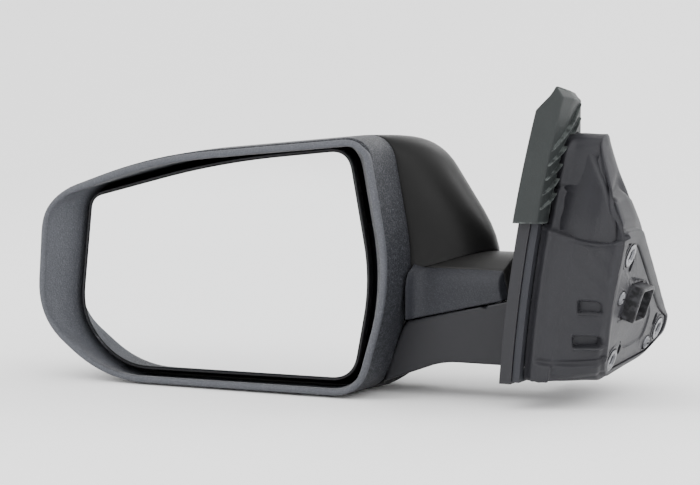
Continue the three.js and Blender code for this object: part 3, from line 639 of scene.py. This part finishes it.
def arm_shroud():
    """The textured rear of the arm, one moulding with the bezel."""
    shroud = arm_body("bezel_shroud", flare=1.0)
    combine(shroud, [block("keep", (-123.2, -70, -60), (-40, ARM_REAR + 6, 60))], "INTERSECT")
    inside = arm_body("inside", WALL)
    return combine(shroud, [inside, arm_room(), foot_cone("cone", 0.5)])


def arm_top():
    """The smooth cover over the top and front of the arm."""
    cover = arm_body("arm_cover_shell")
    combine(cover, [block("keep", (-121, ARM_REAR + 6.3, -60), (-40, 40, 60))], "INTERSECT")
    return combine(cover, [arm_body("inside", WALL), arm_room(), foot_cone("cone", 0.5)])


# ------------------------------------------------------------------ head: cap
SHOULDER = 58.0
SHOULDER_AT = 0.42
SHOULDER_SHARE = (0, 0, 0.34, 1, 0.1, 0, 0)


def head_section(t, inset):
    """Corners of the head behind its lip; t is 0 at the seam and 1 at the nose."""
    dome = math.sqrt(max(1 - t ** 2.6, 0))
    if t < SHOULDER_AT:
        swell = math.sin(math.pi / 2 * t / SHOULDER_AT)
    else:
        swell = math.cos(math.pi / 2 * (t - SHOULDER_AT) / (1 - SHOULDER_AT))
    wide = SHOULDER * max(swell, 0) ** 0.8
    corners = []
    for (x, z, radius), share in zip(offset(LIP, 0.8 - inset), SHOULDER_SHARE):
        corners.append((20 + (x - 20) * dome + wide * share, -4 + (z + 4) * (0.35 + 0.65 * dome),
                        radius * (0.5 + 0.5 * dome) + wide * share * 0.25))
    return corners


def cap_shell():
    """The smooth outer cap, with its inside wall, cut away for the arm and the foot."""
    length = NOSE_Y - SEAM_Y
    depths = np.concatenate([[0, 0.004, 0.012], np.linspace(0.03, 0.9, 34),
                             [0.93, 0.955, 0.972, 0.985, 0.994]])
    rings = []
    for t in depths:
        easing = 0.5 if t == 0 else 0.12 if t < 0.01 else 0
        rings.append(across(head_section(t, easing), SEAM_Y + GAP + t * length))
    inner = [across(head_section(t, WALL), SEAM_Y + GAP + t * (length - WALL))
             for t in (0, 0.06, 0.14, 0.26, 0.42, 0.58, 0.74, 0.87, 0.95, 0.985)]
    outside = loft("skull_cap_shell", rings)
    inside = loft("inside", [inner[0] - np.array((0, 2, 0))] + inner)
    combine(outside, [inside, arm_body("knuckle", -0.4), foot_cone("cone", 0.5)])
    return outside


# ------------------------------------------------------------------ glass
GLASS_EASE = 0.35


def glass():
    """The flat glass, with eased edges."""
    levels = ((-GLASS_EASE, GLASS_Y), (0, GLASS_Y + GLASS_EASE), (0, GLASS_BACK - GLASS_EASE),
              (-GLASS_EASE, GLASS_BACK))
    return loft("mirror_glass_plate", [across(offset(GLASS, grow), y) for grow, y in levels])


def packed(name, node):
    """A new mesh object with the shape of a CAD node."""
    source = frame["nodes"][node]
    mesh = source.data.copy()
    mesh.transform(source.matrix_world)
    made = bpy.data.objects.new(name, mesh)
    bpy.context.scene.collection.objects.link(made)
    work = bmesh.new()
    work.from_mesh(mesh)
    bmesh.ops.remove_doubles(work, verts=work.verts, dist=WELD_M)
    work.to_mesh(mesh)
    work.free()
    return made


def carrier():
    """The plate behind the glass, with a rim round the glass, ears and ball cups."""
    back = GLASS_BACK + 1.3
    levels = ((0.45, back), (0.45, GLASS_Y - 0.1), (0.7, GLASS_Y - 0.4), (1.3, GLASS_Y - 0.4), (1.7, GLASS_Y),
              (1.8, back), (1.5, back + 2.2))
    plate = loft("glass_carrier_plate", [across(offset(GLASS, grow), y) for grow, y in levels])
    fittings = packed("fittings", "glass_carrier")
    (x0, _, z0), (x1, y1, z1) = low("glass_carrier"), high("glass_carrier")
    combine(fittings, [block("keep", (x0 - 1, back + 1.2, z0 - 1), (x1 + 1, y1 + 1, z1 + 1))], "INTERSECT")
    edge = loft("edge", [across(offset(GLASS, -8), y) for y in (back + 1, y1 + 2)])
    combine(fittings, [edge], "INTERSECT")
    return combine(plate, [fittings], "UNION")


# ------------------------------------------------------------------ base
SAIL_REAR, SAIL_BOTTOM, SAIL_TOP, SAIL_RIM = -78.0, -28.0, 132.0, 7.0
SAIL_THICK = 3
SAIL_STEPS = 40
GASKET_DEEP = 4.5
# The sail's outer face leans inboard above this height.
SAIL_LEAN_FROM = 124


def sail_x(z):
    """Outboard face of the sail at a height."""
    rise = np.asarray(z, float) + 27
    return -58 + 0.07 * rise + 0.0006 * rise * rise


def sail_front(z):
    """Front edge of the sail at a height; its tip is narrower, and lies inside the corner seal."""
    tip = -62 + (131 - z) * 0.7 + 1.7 * max(111 - z, 0)
    return min(-40 + (SAIL_TOP - z) * 0.85, 52 + (z - SAIL_BOTTOM) * 0.5, tip)


def sail_body(name, near, far, inset, top=SAIL_TOP):
    """A body between two sheets that follow the sail, given as distances inboard of its outer face."""
    rings = []
    for i in range(SAIL_STEPS + 1):
        z = SAIL_BOTTOM + inset + (top - SAIL_BOTTOM - 2 * inset) * i / SAIL_STEPS
        x = sail_x(z)
        front = max(sail_front(z) - inset * 1.4, SAIL_REAR + inset + 3)
        rear = SAIL_REAR + inset
        outer = x + near + 0.6 * max(z - SAIL_LEAN_FROM, 0) * max(0, 1 - near / SAIL_RIM)
        rings.append(np.array([(outer, rear, z), (x + far, rear, z), (x + far, front, z), (outer, front, z)]))
    return loft(name, rings)


def plate_x(z):
    """Face of the mounting plate at a height."""
    return math.tan(LEAN) * np.asarray(z, float)


# The foot seen from the side of the car: x, z, corner radius.
FOOT_SIDE = [(-53, -22, 1), (-53, 18, 1), (-103, 6, 1), (-136, -2, 1), (-150, -39, 1), (-104, -22, 10)]
FOOT_FRONT = 2


def foot_body(name, inset):
    """The fixed foot under the arm, cut by the joint face above and by a cone round the fold axis."""
    points = rounded(offset(FOOT_SIDE, -inset), 10, 8)
    foot = loft(name, [np.stack([points[:, 0], np.full(len(points), y), points[:, 1]], 1)
                       for y in (ARM_REAR + inset, FOOT_FRONT - inset)])
    joint = block("joint", (-70, -60, -80), (70, 60, FOOT_HIGH - inset), on_fold)
    reach = combine(foot_cone("reach", -inset), [block("root", (-77, -60, -60), (-50, 20, 40))], "UNION")
    return combine(foot, [joint, reach], "INTERSECT")


def base_cover():
    """Foot and sail in one moulding."""
    foot = foot_body("base_cover_shell", 0)
    soften_cone_edge(foot)
    melted(foot, 0.75, 5)
    tray = sail_body("tray", SAIL_THICK, SAIL_RIM + 1, WALL)
    sail = combine(sail_body("sail", 0, SAIL_RIM, 0), [tray])
    soften(sail, 0.7, 35, 2)
    combine(foot, [sail], "UNION")
    hub = turned("hub", [(0, -6), (17.8, -6), (17.8, 3), (0, 3)], on_fold, 64)
    root = block("root", (-62, -46, -18), (-48, -4, 8))
    return combine(foot, [foot_body("hollow", WALL), root, hub])


def soften_cone_edge(foot):
    """Rounds the long edge between the foot's flat rear face and its cone by a wider radius."""
    mesh = foot.data
    work = bmesh.new()
    work.from_mesh(mesh)
    chosen = []
    for edge in work.edges:
        if len(edge.link_faces) != 2:
            continue
        a, b = (f.normal for f in edge.link_faces)
        middle = (edge.verts[0].co + edge.verts[1].co) / 2 / MM
        flat = min(a.y, b.y) < -0.985
        other = a if a.y > b.y else b
        if flat and a.angle(b, 0) > math.radians(12) and other.x < -0.3 and middle.x < -70:
            chosen.append(edge)
    bmesh.ops.bevel(work, geom=chosen, offset=5 * MM, segments=6, profile=0.5, affect="EDGES",
                    clamp_overlap=True)
    work.to_mesh(mesh)
    work.free()


def gasket():
    """The strip behind the sail's rim."""
    return combine(sail_body("door_gasket_strip", SAIL_RIM + GAP, SAIL_RIM + GASKET_DEEP, 1),
                   [sail_body("inside", SAIL_RIM - 1, SAIL_RIM + 6, 7)])


# ------------------------------------------------------------------ boot
# Outlines behind the sail and round the plate: forward, height, radius.
BOOT_SAIL = [(-72, 106, 10), (-60, 113, 8), (36, 18, 12), (46, -18, 10), (18, -26.5, 8), (-72, -26.5, 4),
             (-72, 40, 20)]
BOOT_PLATE = [(-98, 62, 8), (-66, 62, 8), (49, 0, 10), (50, -12, 8), (16, -23, 10), (-48, -28, 8),
              (-77, 14, 20)]
BOOT_WALL = 3.0
BOOT_CLEAR = 5
BOOT_STEPS = (40, 50)
PLATE_OUTLINE = [(-86, 54, 5), (-64, 52, 6), (22, 7, 14), (44, 0, 6), (46, -9, 8), (24, -19, 8),
                 (-46, -23, 6), (-69, 12, 16)]


def boot_ring(s, inset=0.0, arc=8, side=16):
    """Outline of the boot a share of the way from the sail to the plate: row-frame points."""
    share = max(0.0, (s - 0.38) / 0.62) ** 0.85
    points = rounded(offset(mixed(BOOT_SAIL, BOOT_PLATE, share), -inset), arc, side)
    near = sail_x(points[:, 1]) + SAIL_RIM + BOOT_CLEAR + (-1 if inset > 0 else inset)
    far = plate_x(points[:, 1]) - inset
    return np.stack([near + (far - near) * s, points[:, 0], points[:, 1]], 1)


def polar(points, middle, angles):
    """Resamples a closed outline at given directions from a middle point."""
    around = np.arctan2(points[:, 1] - middle[1], points[:, 0] - middle[0])
    radius = np.hypot(points[:, 0] - middle[0], points[:, 1] - middle[1])
    order = np.argsort(around)
    around, radius = around[order], radius[order]
    around = np.concatenate([around - 2 * math.pi, around, around + 2 * math.pi])
    radius = np.tile(radius, 3)
    found = np.interp(angles, around, radius)
    return np.stack([middle[0] + found * np.cos(angles), middle[1] + found * np.sin(angles)], 1)


def band(away, width):
    """1 along a line and falling to 0 beside it; away is the distance from the line."""
    return np.exp(-(away / width) ** 2)


# The pockets' tops, and their edges next to the sail and next to the plate.
POCKETS = ((20.5, -15.0, 1.5), (0.5, -19.0, -1.0))
POCKET_TALL = 8.0
POCKET_DEEP = 5.0
# The turned edge round the plate: share of the way from rim to plate, and height over the plate's face.
BOOT_LAP = ((0.06, 0.9), (0.16, 1.15), (0.55, 1.0), (0.9, 1.0), (0.99, 0.7), (1.0, -0.4), (1.0, -5.0))


def boot():
    """The moulded boot from the gasket to the plate, with its ledges, folds and two hooded pockets."""
    rows = [boot_ring(s, 0, *BOOT_STEPS) for s in np.linspace(0, 1, 100)]
    grid = np.array(rows)
    ahead = np.roll(grid, -1, 1) - np.roll(grid, 1, 1)
    along = np.gradient(grid, axis=0)
    out = np.cross(ahead, along)
    out /= np.linalg.norm(out, axis=2, keepdims=True) + 1e-9
    middle = grid.mean((0, 1))
    if ((grid - middle) * out).sum(2).mean() < 0:
        out = -out
    x, y, z = grid[..., 0], grid[..., 1], grid[..., 2]
    rear = smooth(-out[..., 1], 0.55, 0.85)
    free = smooth(x, -40, -36)
    # the upper part is set in behind a ledge that dips in its middle
    ledge = 54.5 + 3.5 * ((x + 2) / 22) ** 2 - 2.0
    above = smooth(z, ledge - 0.2, ledge + 1.2)
    push = -3.4 * above * rear * free * (1 - 0.35 * smooth(z, 70, 105))
    push = push + 0.9 * band(z - ledge + 1.1, 1.1) * rear * free
    # faint fold across the upper part
    fold = 80 - 0.12 * (x + 10)
    push = push - 1.3 * band(z - fold, 1.3) * rear * free * smooth(-x, -6, 4)
    # a raised rib up the edge next to the gasket
    push = push + 2.2 * band(x - sail_x(z) - 17.5, 2.6) * rear
    # lower skirt: a ledge above the bottom roll
    skirt = -16.5 + 0.05 * (x + 12) + 1.2 * ((x + 16) / 16) ** 2
    push = push + 2.6 * smooth(-z, -skirt - 0.2, -skirt + 1.0) * rear * free
    push = push - 0.8 * band(z - skirt - 1.2, 0.9) * rear * free
    # teardrop swelling and folds at the top inboard corner
    drop = ((x - 8.5) / 4.5) ** 2 + ((z - 72 - 0.5 * (8 - x)) / 9) ** 2
    push = push + 2.6 * np.exp(-drop * 1.2) * rear
    crease = x - 2.0 - 0.10 * (z - 76)
    push = push - 2.4 * band(crease, 1.1) * smooth(z, 70, 78) * smooth(-z, -104, -96) * rear
    slit = x - 9.0 + 0.28 * (z - 84)
    push = push - 3.0 * band(slit, 0.9) * smooth(z, 75, 78) * smooth(-z, -97, -93)
    # two pockets under small hoods
    for top_z, left, right in POCKETS:
        length = smooth(x, left - 0.4, left + 0.8) * smooth(-x, -right, -right + 7)
        height = smooth(z, top_z - POCKET_TALL, top_z - POCKET_TALL + 0.8) * smooth(-z, -top_z, -top_z + 3.5)
        push = push - POCKET_DEEP * length * height * rear
        push = push + 0.8 * band(z - top_z + POCKET_TALL + 0.4, 0.7) * length * rear
    # the rim rounds over towards the plate
    way = np.linspace(0, 1, len(rows))[:, None]
    push = push - 2.2 * smooth(way, 0.9, 1.0) ** 2
    # slow unevenness of a soft moulding
    push = push + 0.22 * np.sin(x * 0.31 + z * 0.17) * np.sin(z * 0.23 - y * 0.11) * free
    grid = grid + out * push[..., None]
    rings = list(grid)
    # the rim flush with the plate, then the groove round the plate
    centre = (-20.0, 8.0)
    edge = rings[-1][:, 1:]
    angles = np.arctan2(edge[:, 1] - centre[1], edge[:, 0] - centre[0])
    hole = polar(rounded(offset(PLATE_OUTLINE, -0.5), 12, 24), centre, angles)
    for share, lift in BOOT_LAP:
        ring = edge + (hole - edge) * share
        rings.append(np.stack([plate_x(ring[:, 1]) + lift, ring[:, 0], ring[:, 1]], 1))
    # inside wall
    for s in (0.9, 0.6, 0.3, 0.0):
        rings.append(boot_ring(s, BOOT_WALL, *BOOT_STEPS))
    return loft("sail_boot_shell", rings, caps=False, wrap=True)


# ------------------------------------------------------------------ plate
def plate_prism(name, corners, levels, arc=8, side=6):
    """A prism square to the plate; levels are depth and growth pairs."""
    rings = []
    for depth, grow in levels:
        points = rounded(offset(corners, grow), arc, side)
        rings.append(on_plate(np.stack([np.full(len(points), depth), points[:, 0],
                                        points[:, 1] / math.cos(LEAN)], 1)))
    return loft(name, rings)


def plate_disc(name, point, radius, start, end, segments=48):
    """A disc square to the plate, between two depths."""
    return turned(name, [(0, start), (radius, start), (radius, end), (0, end)],
                  placed(PLATE_NORMAL, plate_point(*point)), segments)


SOCKET = [(-47, 7, 2), (-47, 27, 2), (-25, 27, 2), (-25, 7, 2)]
SOCKET_Y, SOCKET_Z = -36, 17
PIN_PITCH = 5.5
BOSS_RADIUS, INSERT_ROOM = 8.6, 7.0
SCREW_HOLE, SCREW_SEAT = 2.4, 4.6
# A shallow panel pressed into the middle of the plate.
PANEL = [(-58, 33, 5), (-20, 27, 8), (10, 4, 10), (8, -10, 6), (-26, -12, 6), (-56, 6, 10)]
# The slots beside the inserts: where each lies from its insert, and half its width and height.
SLOTS = ((9.5, -6.5), (10.5, 5.5), (-9.5, 6.5))
SLOT_WIDE, SLOT_TALL = 2.4, 3.6


def rectangle(y, z, wide, tall, radius):
    """Corners of a rectangle about a middle, from half its width and half its height."""
    return [(y - wide, z - tall, radius), (y - wide, z + tall, radius), (y + wide, z + tall, radius),
            (y + wide, z - tall, radius)]


def bracket_face():
    """The plate that takes the screws, with raised rings round its inserts, slots and room for the socket."""
    plate = plate_prism("mount_plate", PLATE_OUTLINE,
                        ((-5.02, -1.18), (-0.6, -1.18), (-0.15, -1.35), (0.02, -1.8)))
    combine(plate, [packed("casting", "mount_bracket")], "UNION")
    bosses = [plate_disc("boss", p, BOSS_RADIUS, -3, 0.5) for p in INSERTS]
    shaped = [soften(b, 0.4, 30, 2) for b in bosses]
    combine(plate, shaped, "UNION")
    combine(plate, [plate_prism("panel", PANEL, ((-0.9, -0.8), (1, 1.2)))])
    tools = []
    for (y, z), (along, up) in zip(INSERTS, SLOTS):
        tools.append(plate_prism("slot", rectangle(y + along, z + up, SLOT_WIDE, SLOT_TALL, 1.5),
                                 ((-4, 0), (2, 0))))
    tools += [plate_disc("bore", p, INSERT_ROOM, -16, 4) for p in INSERTS]
    tools += [plate_disc("hole", p, SCREW_HOLE, -6, 4, 24) for p in PLATE_SCREWS]
    tools += [plate_disc("seat", p, SCREW_SEAT, -1, 4, 32) for p in PLATE_SCREWS]
    tools.append(plate_prism("socket", SOCKET, ((-40, 0.3), (4, 0.3)), 4, 2))
    return combine(plate, tools)


# Radii of the inserts' bore at the crests and at the roots of its thread.
INSERT_BORE = 3.3
INSERT_THREAD = 3.75


def insert(name, point):
    """A threaded insert with a round collar and a threaded bore."""
    place = placed(PLATE_NORMAL, plate_point(*point))
    outside = [(INSERT_BORE, -14), (6.3, -14), (6.3, 0), (6.4, 0.2), (6.5, 0.45), (6.5, 0.9), (6.2, 1.2),
               (4.2, 1.2)]
    bore = [(INSERT_THREAD, 0.7)]
    for k in range(14):
        bore += [(INSERT_BORE, 0.1 - k), (INSERT_THREAD, -0.4 - k)]
    return turned(name, outside + bore + [(INSERT_BORE, -14)], place, 72)


def screw_cross(name, point):
    """A domed cross-head screw."""
    place = placed(PLATE_NORMAL, plate_point(*point))
    dome = [(4 * math.cos(a), 0.1 + 1.9 * math.sin(a)) for a in np.radians(np.linspace(0, 90, 9))]
    shank = [(0, -9), (1.9, -9), (1.9, -0.7), (3.7, -0.7), (4, -0.4)]
    body = turned(name, shank + dome[:-1] + [(0, 2)], place, 48)
    tools = []
    for wide, deep in ((2.1, 0.45), (0.45, 2.1)):
        tools.append(block("cross", (-wide, -deep, 0.6), (wide, deep, 3), place))
    return combine(body, tools)


def socket():
    """The wiring socket that stands out of the plate."""
    shell = plate_prism("connector_shell", SOCKET, ((-12, -0.3), (6.4, -0.3), (7, -0.9)), 5, 4)
    tools = [plate_prism("mouth", offset(SOCKET, -2), ((-8, 0), (6.6, 0), (8, 0.9)), 5, 4)]
    tools += [plate_disc("pin_hole", (SOCKET_Y + side * PIN_PITCH, SOCKET_Z), 1.2, -14, -6, 16)
              for side in (-1, 0, 1)]
    combine(shell, tools)
    ribs = [plate_prism("rib", rectangle(y, 25.4, 1.2, 0.8, 0.3), ((-8.5, 0), (5.5, 0)), 2, 2)
            for y in (-38.5, -31.5)]
    return combine(shell, ribs, "UNION")


def pins():
    """Three terminals with chamfered tips in one moulded carrier."""
    bar = plate_prism("connector_terminals", rectangle(SOCKET_Y, SOCKET_Z, 9, 4, 1),
                      ((-15, 0), (-12.3, 0)), 3, 2)
    blades = [plate_prism("blade", rectangle(SOCKET_Y + side * PIN_PITCH, SOCKET_Z, 0.8, 0.7, 0.1),
                          ((-13, 0), (-2.8, 0), (-2, -0.35)), 2, 2) for side in (-1, 0, 1)]
    return combine(bar, blades, "UNION")


# ------------------------------------------------------------------ corner seal
# Blades on the seal's flank: height of the rear end of each.
SEAL_RIBS = (70, 78, 86, 94, 102)
SEAL_LOW, SEAL_TOP = 62, 137
SEAL_REAR = -83.5
# Each blade starts here, and runs this far forward and up, or ends this far inside the seal's front.
RIB_REAR = -82
RIB_LONG = 29
RIB_RISE = 25
RIB_INSIDE = 3
RIB_TALL = 2.4


def seal_outline(z):
    """The seal's outline at a height: distance inboard of the sail's face, forward position and radius."""
    outer = -2 + 0.75 * max(z - 124, 0)
    flank = 15 - 0.6 * max(z - 131, 0)
    front = min(max(-60.5 + 0.7 * (131 - z), -60.5), -43)
    level = (z - SEAL_LOW) / (SEAL_TOP - SEAL_LOW)
    slope = -78 + 8 * level
    edge = flank - 3.2
    return [(outer, SEAL_REAR, 1.6), (max(edge, outer + 1.5), SEAL_REAR, 1.8), (flank, slope, 2.5),
            (flank, front, 2), (outer, front, 1.5)]


def corner_seal():
    """Rubber over the top rear corner of the sail, with slanting blades on its inboard flank."""
    rings = []
    for t in np.linspace(0, 1, 90):
        z = SEAL_LOW + (SEAL_TOP - SEAL_LOW) * t
        points = rounded(seal_outline(z), 6, 12)
        x = float(sail_x(min(z, SAIL_TOP)))
        drop = 0.19 * (points[:, 1] - SEAL_REAR) * float(smooth(t, 0.84, 1))
        rings.append(np.stack([x + points[:, 0], points[:, 1], z - drop], 1))
    body = loft("corner_seal_body", rings)
    ribs = []
    for rear_z in SEAL_RIBS:
        rib = []
        reach = min(RIB_LONG, seal_outline(rear_z + RIB_RISE)[3][1] - RIB_INSIDE - RIB_REAR)
        for t in np.linspace(0, 1, 20):
            y, z = RIB_REAR + reach * t, rear_z + RIB_RISE * t
            (_, _, _), (edge, _, _), (flank, slope, _), _, _ = seal_outline(z)
            share = np.clip((y - SEAL_REAR) / (slope - SEAL_REAR), 0, 1)
            x = float(sail_x(min(z, SAIL_TOP))) + edge + (flank - edge) * share
            tall = RIB_TALL * math.sin(math.pi * (0.04 + 0.92 * t)) ** 0.5
            rib.append(np.array([(x - 2, y, z + 0.6), (x + tall, y, z + 0.3), (x + tall, y, z - 0.3),
                                 (x - 2, y, z - 0.6)]))
        ribs.append(loft("rib", rib))
    combine(body, ribs, "UNION")
    tools = [sail_body("inside", -GAP, SAIL_RIM + GASKET_DEEP + GAP, -0.5, SAIL_TOP - 1),
             loft("boot_room", [boot_ring(s, -0.4, 4, 6)
                                for s in (0, 0.2, 0.38, 0.45, 0.55, 0.7, 0.85, 1)])]
    return combine(body, tools)


# ------------------------------------------------------------------ assembly
done(paint_lip_light(soften(bezel_rim(), 0, sharp=50)), TEXTURED, "head", "textured_black_plastic", "bezel")
done(melted(arm_shroud(), 0.7, 9), ARM_TEXTURED, "head", "textured_black_plastic")
done(melted(arm_top(), 0.7, 6), ARM_GREY, "head", "satin_grey_plastic", "arm_cover")
done(soften(cap_shell(), 0.35, 40, 2), SATIN_BLACK, "head", "satin_black_plastic", "skull_cap")
done(soften(glass(), 0), MIRROR, "glass", "mirror_glass", "mirror_glass")
done(soften(carrier(), 0, sharp=35), CARRIER, "glass", "carrier_plastic", "glass_carrier")
done(soften(base_cover(), 0, sharp=40), SATIN_GREY, "base", "satin_grey_plastic", "base_cover")
done(soften(gasket(), 0.7, 35, 2), GASKET, "base", "gasket_rubber", "door_gasket")
done(evened(boot()), BOOT, "base", "boot_rubber", "sail_boot")
done(soften(corner_seal(), 0.3, 40, 2), SEAL, "base", "seal_rubber", "corner_seal")
done(soften(bracket_face(), 0.25, 40, 2), ALLOY, "base", "cast_alloy", "mount_bracket")
done(soften(socket(), 0.25, 40, 2), NYLON, "base", "black_nylon", "connector_housing")
done(soften(pins(), 0, sharp=30), TINNED, "base", "terminal_brass", "connector_pins")
for i, point in enumerate(INSERTS, 1):
    done(soften(insert(f"threaded_insert_{i}_detail", point), 0, sharp=30), ZINC, "base", "zinc_steel",
         f"threaded_insert_{i}")
for i, point in enumerate(PLATE_SCREWS, 1):
    done(soften(screw_cross(f"plate_screw_{i}_detail", point), 0.12, 40, 2), ZINC, "base", "zinc_steel",
         f"plate_screw_{i}")

# The CAD nodes that show as they are.
NODE_PAINT = {
    "head_frame": ALLOY, "heater_film": FILM,
    "gimbal_ring": WHITE, "actuator_case": NYLON, "actuator_cover": NYLON, "tilt_jackscrew": WHITE,
    "pan_jackscrew": WHITE, "tilt_worm_wheel": WHITE, "pan_worm_wheel": WHITE, "tilt_worm": BRASS,
    "pan_worm": BRASS, "tilt_motor": MOTOR, "pan_motor": MOTOR, "pivot_post": STEEL, "friction_washer": WHITE,
    "fold_spring": SPRING, "spring_washer": STEEL, "lock_ring": STEEL, "base_harness": CABLE,
    "head_harness": CABLE, "actuator_screw_1": ZINC, "actuator_screw_2": ZINC, "actuator_screw_3": ZINC,
}
for node, material in NODE_PAINT.items():
    held = frame["nodes"][node].data.materials
    held.clear()
    held.append(material)


# ------------------------------------------------------------------ floor, camera and lights
def floor():
    """A pale floor that the lowest point of the mirror rests on, curving up far behind it."""
    level = cad_low[2] / MM - 0.4
    profile = [(-4200, 0), (1500, 0)] + [(1500 + 1500 * math.sin(a), 1500 - 1500 * math.cos(a))
                                         for a in np.radians(np.linspace(6, 84, 14))] + [(3000, 3600)]
    vertices, faces = [], []
    for k, (y, z) in enumerate(profile):
        vertices += [(-4500, y, level + z), (4500, y, level + z)]
        if k:
            faces.append((2 * k - 2, 2 * k - 1, 2 * k + 1, 2 * k))
    sheet = make("floor", vertices, faces)
    sheet.data.shade_smooth()
    paint = Paint("floor_paper")
    shade = paint.blend(paint.noise(300, 2), (0.93, 0.93, 0.93), (0.96, 0.96, 0.96))
    sheet.data.materials.append(paint.set(Base_Color=shade, Roughness=0.9, Specular_IOR_Level=0.1))


def area(name, place, aim, size, power):
    """A soft rectangular light; places are in metres."""
    light = bpy.data.lights.new(name, "AREA")
    light.shape = "RECTANGLE"
    light.size, light.size_y = size
    light.energy = power
    made = bpy.data.objects.new(name, light)
    made.location = Vector(place)
    made.rotation_euler = (Vector(aim) - Vector(place)).to_track_quat("-Z", "Y").to_euler()
    bpy.context.scene.collection.objects.link(made)


floor()
AZIMUTH, ELEVATION, DISTANCE_M = math.radians(25), math.radians(5), 1.343
AIM = Vector((-0.165, -0.044, 0.044))
SENSOR, LENS = 36, 118.07
DAYLIGHT = 1.9
# Each lamp's name, place, aim, size and power.
LAMPS = (
    ("key", (-1.6, -1.6, 2.0), (-0.2, 0, 0.03), (1.4, 1.4), 26),
    ("fill", (1.6, -1.4, 1.0), (0, 0, 0.03), (1.2, 1.2), 8),
    ("rim", (0.6, 1.8, 1.8), (-0.15, 0, 0.05), (1.6, 1.0), 16),
    ("side", (1.5, 0.7, 1.1), (-0.1, 0, 0.05), (0.9, 0.9), 14),
)
back = Vector((math.sin(AZIMUTH) * math.cos(ELEVATION), -math.cos(AZIMUTH) * math.cos(ELEVATION),
               math.sin(ELEVATION)))
eye = bpy.data.cameras.new("camera")
eye.sensor_width = SENSOR
eye.lens = LENS
camera = bpy.data.objects.new("camera", eye)
camera.location = AIM + back * DISTANCE_M
camera.rotation_euler = (-back).to_track_quat("-Z", "Y").to_euler()
bpy.context.scene.collection.objects.link(camera)
bpy.context.scene.camera = camera

world = bpy.data.worlds.new("studio")
world.use_nodes = True
world.node_tree.nodes["Background"].inputs["Color"].default_value = (1, 1, 1, 1)
world.node_tree.nodes["Background"].inputs["Strength"].default_value = DAYLIGHT
bpy.context.scene.world = world
for lamp in LAMPS:
    area(*lamp)
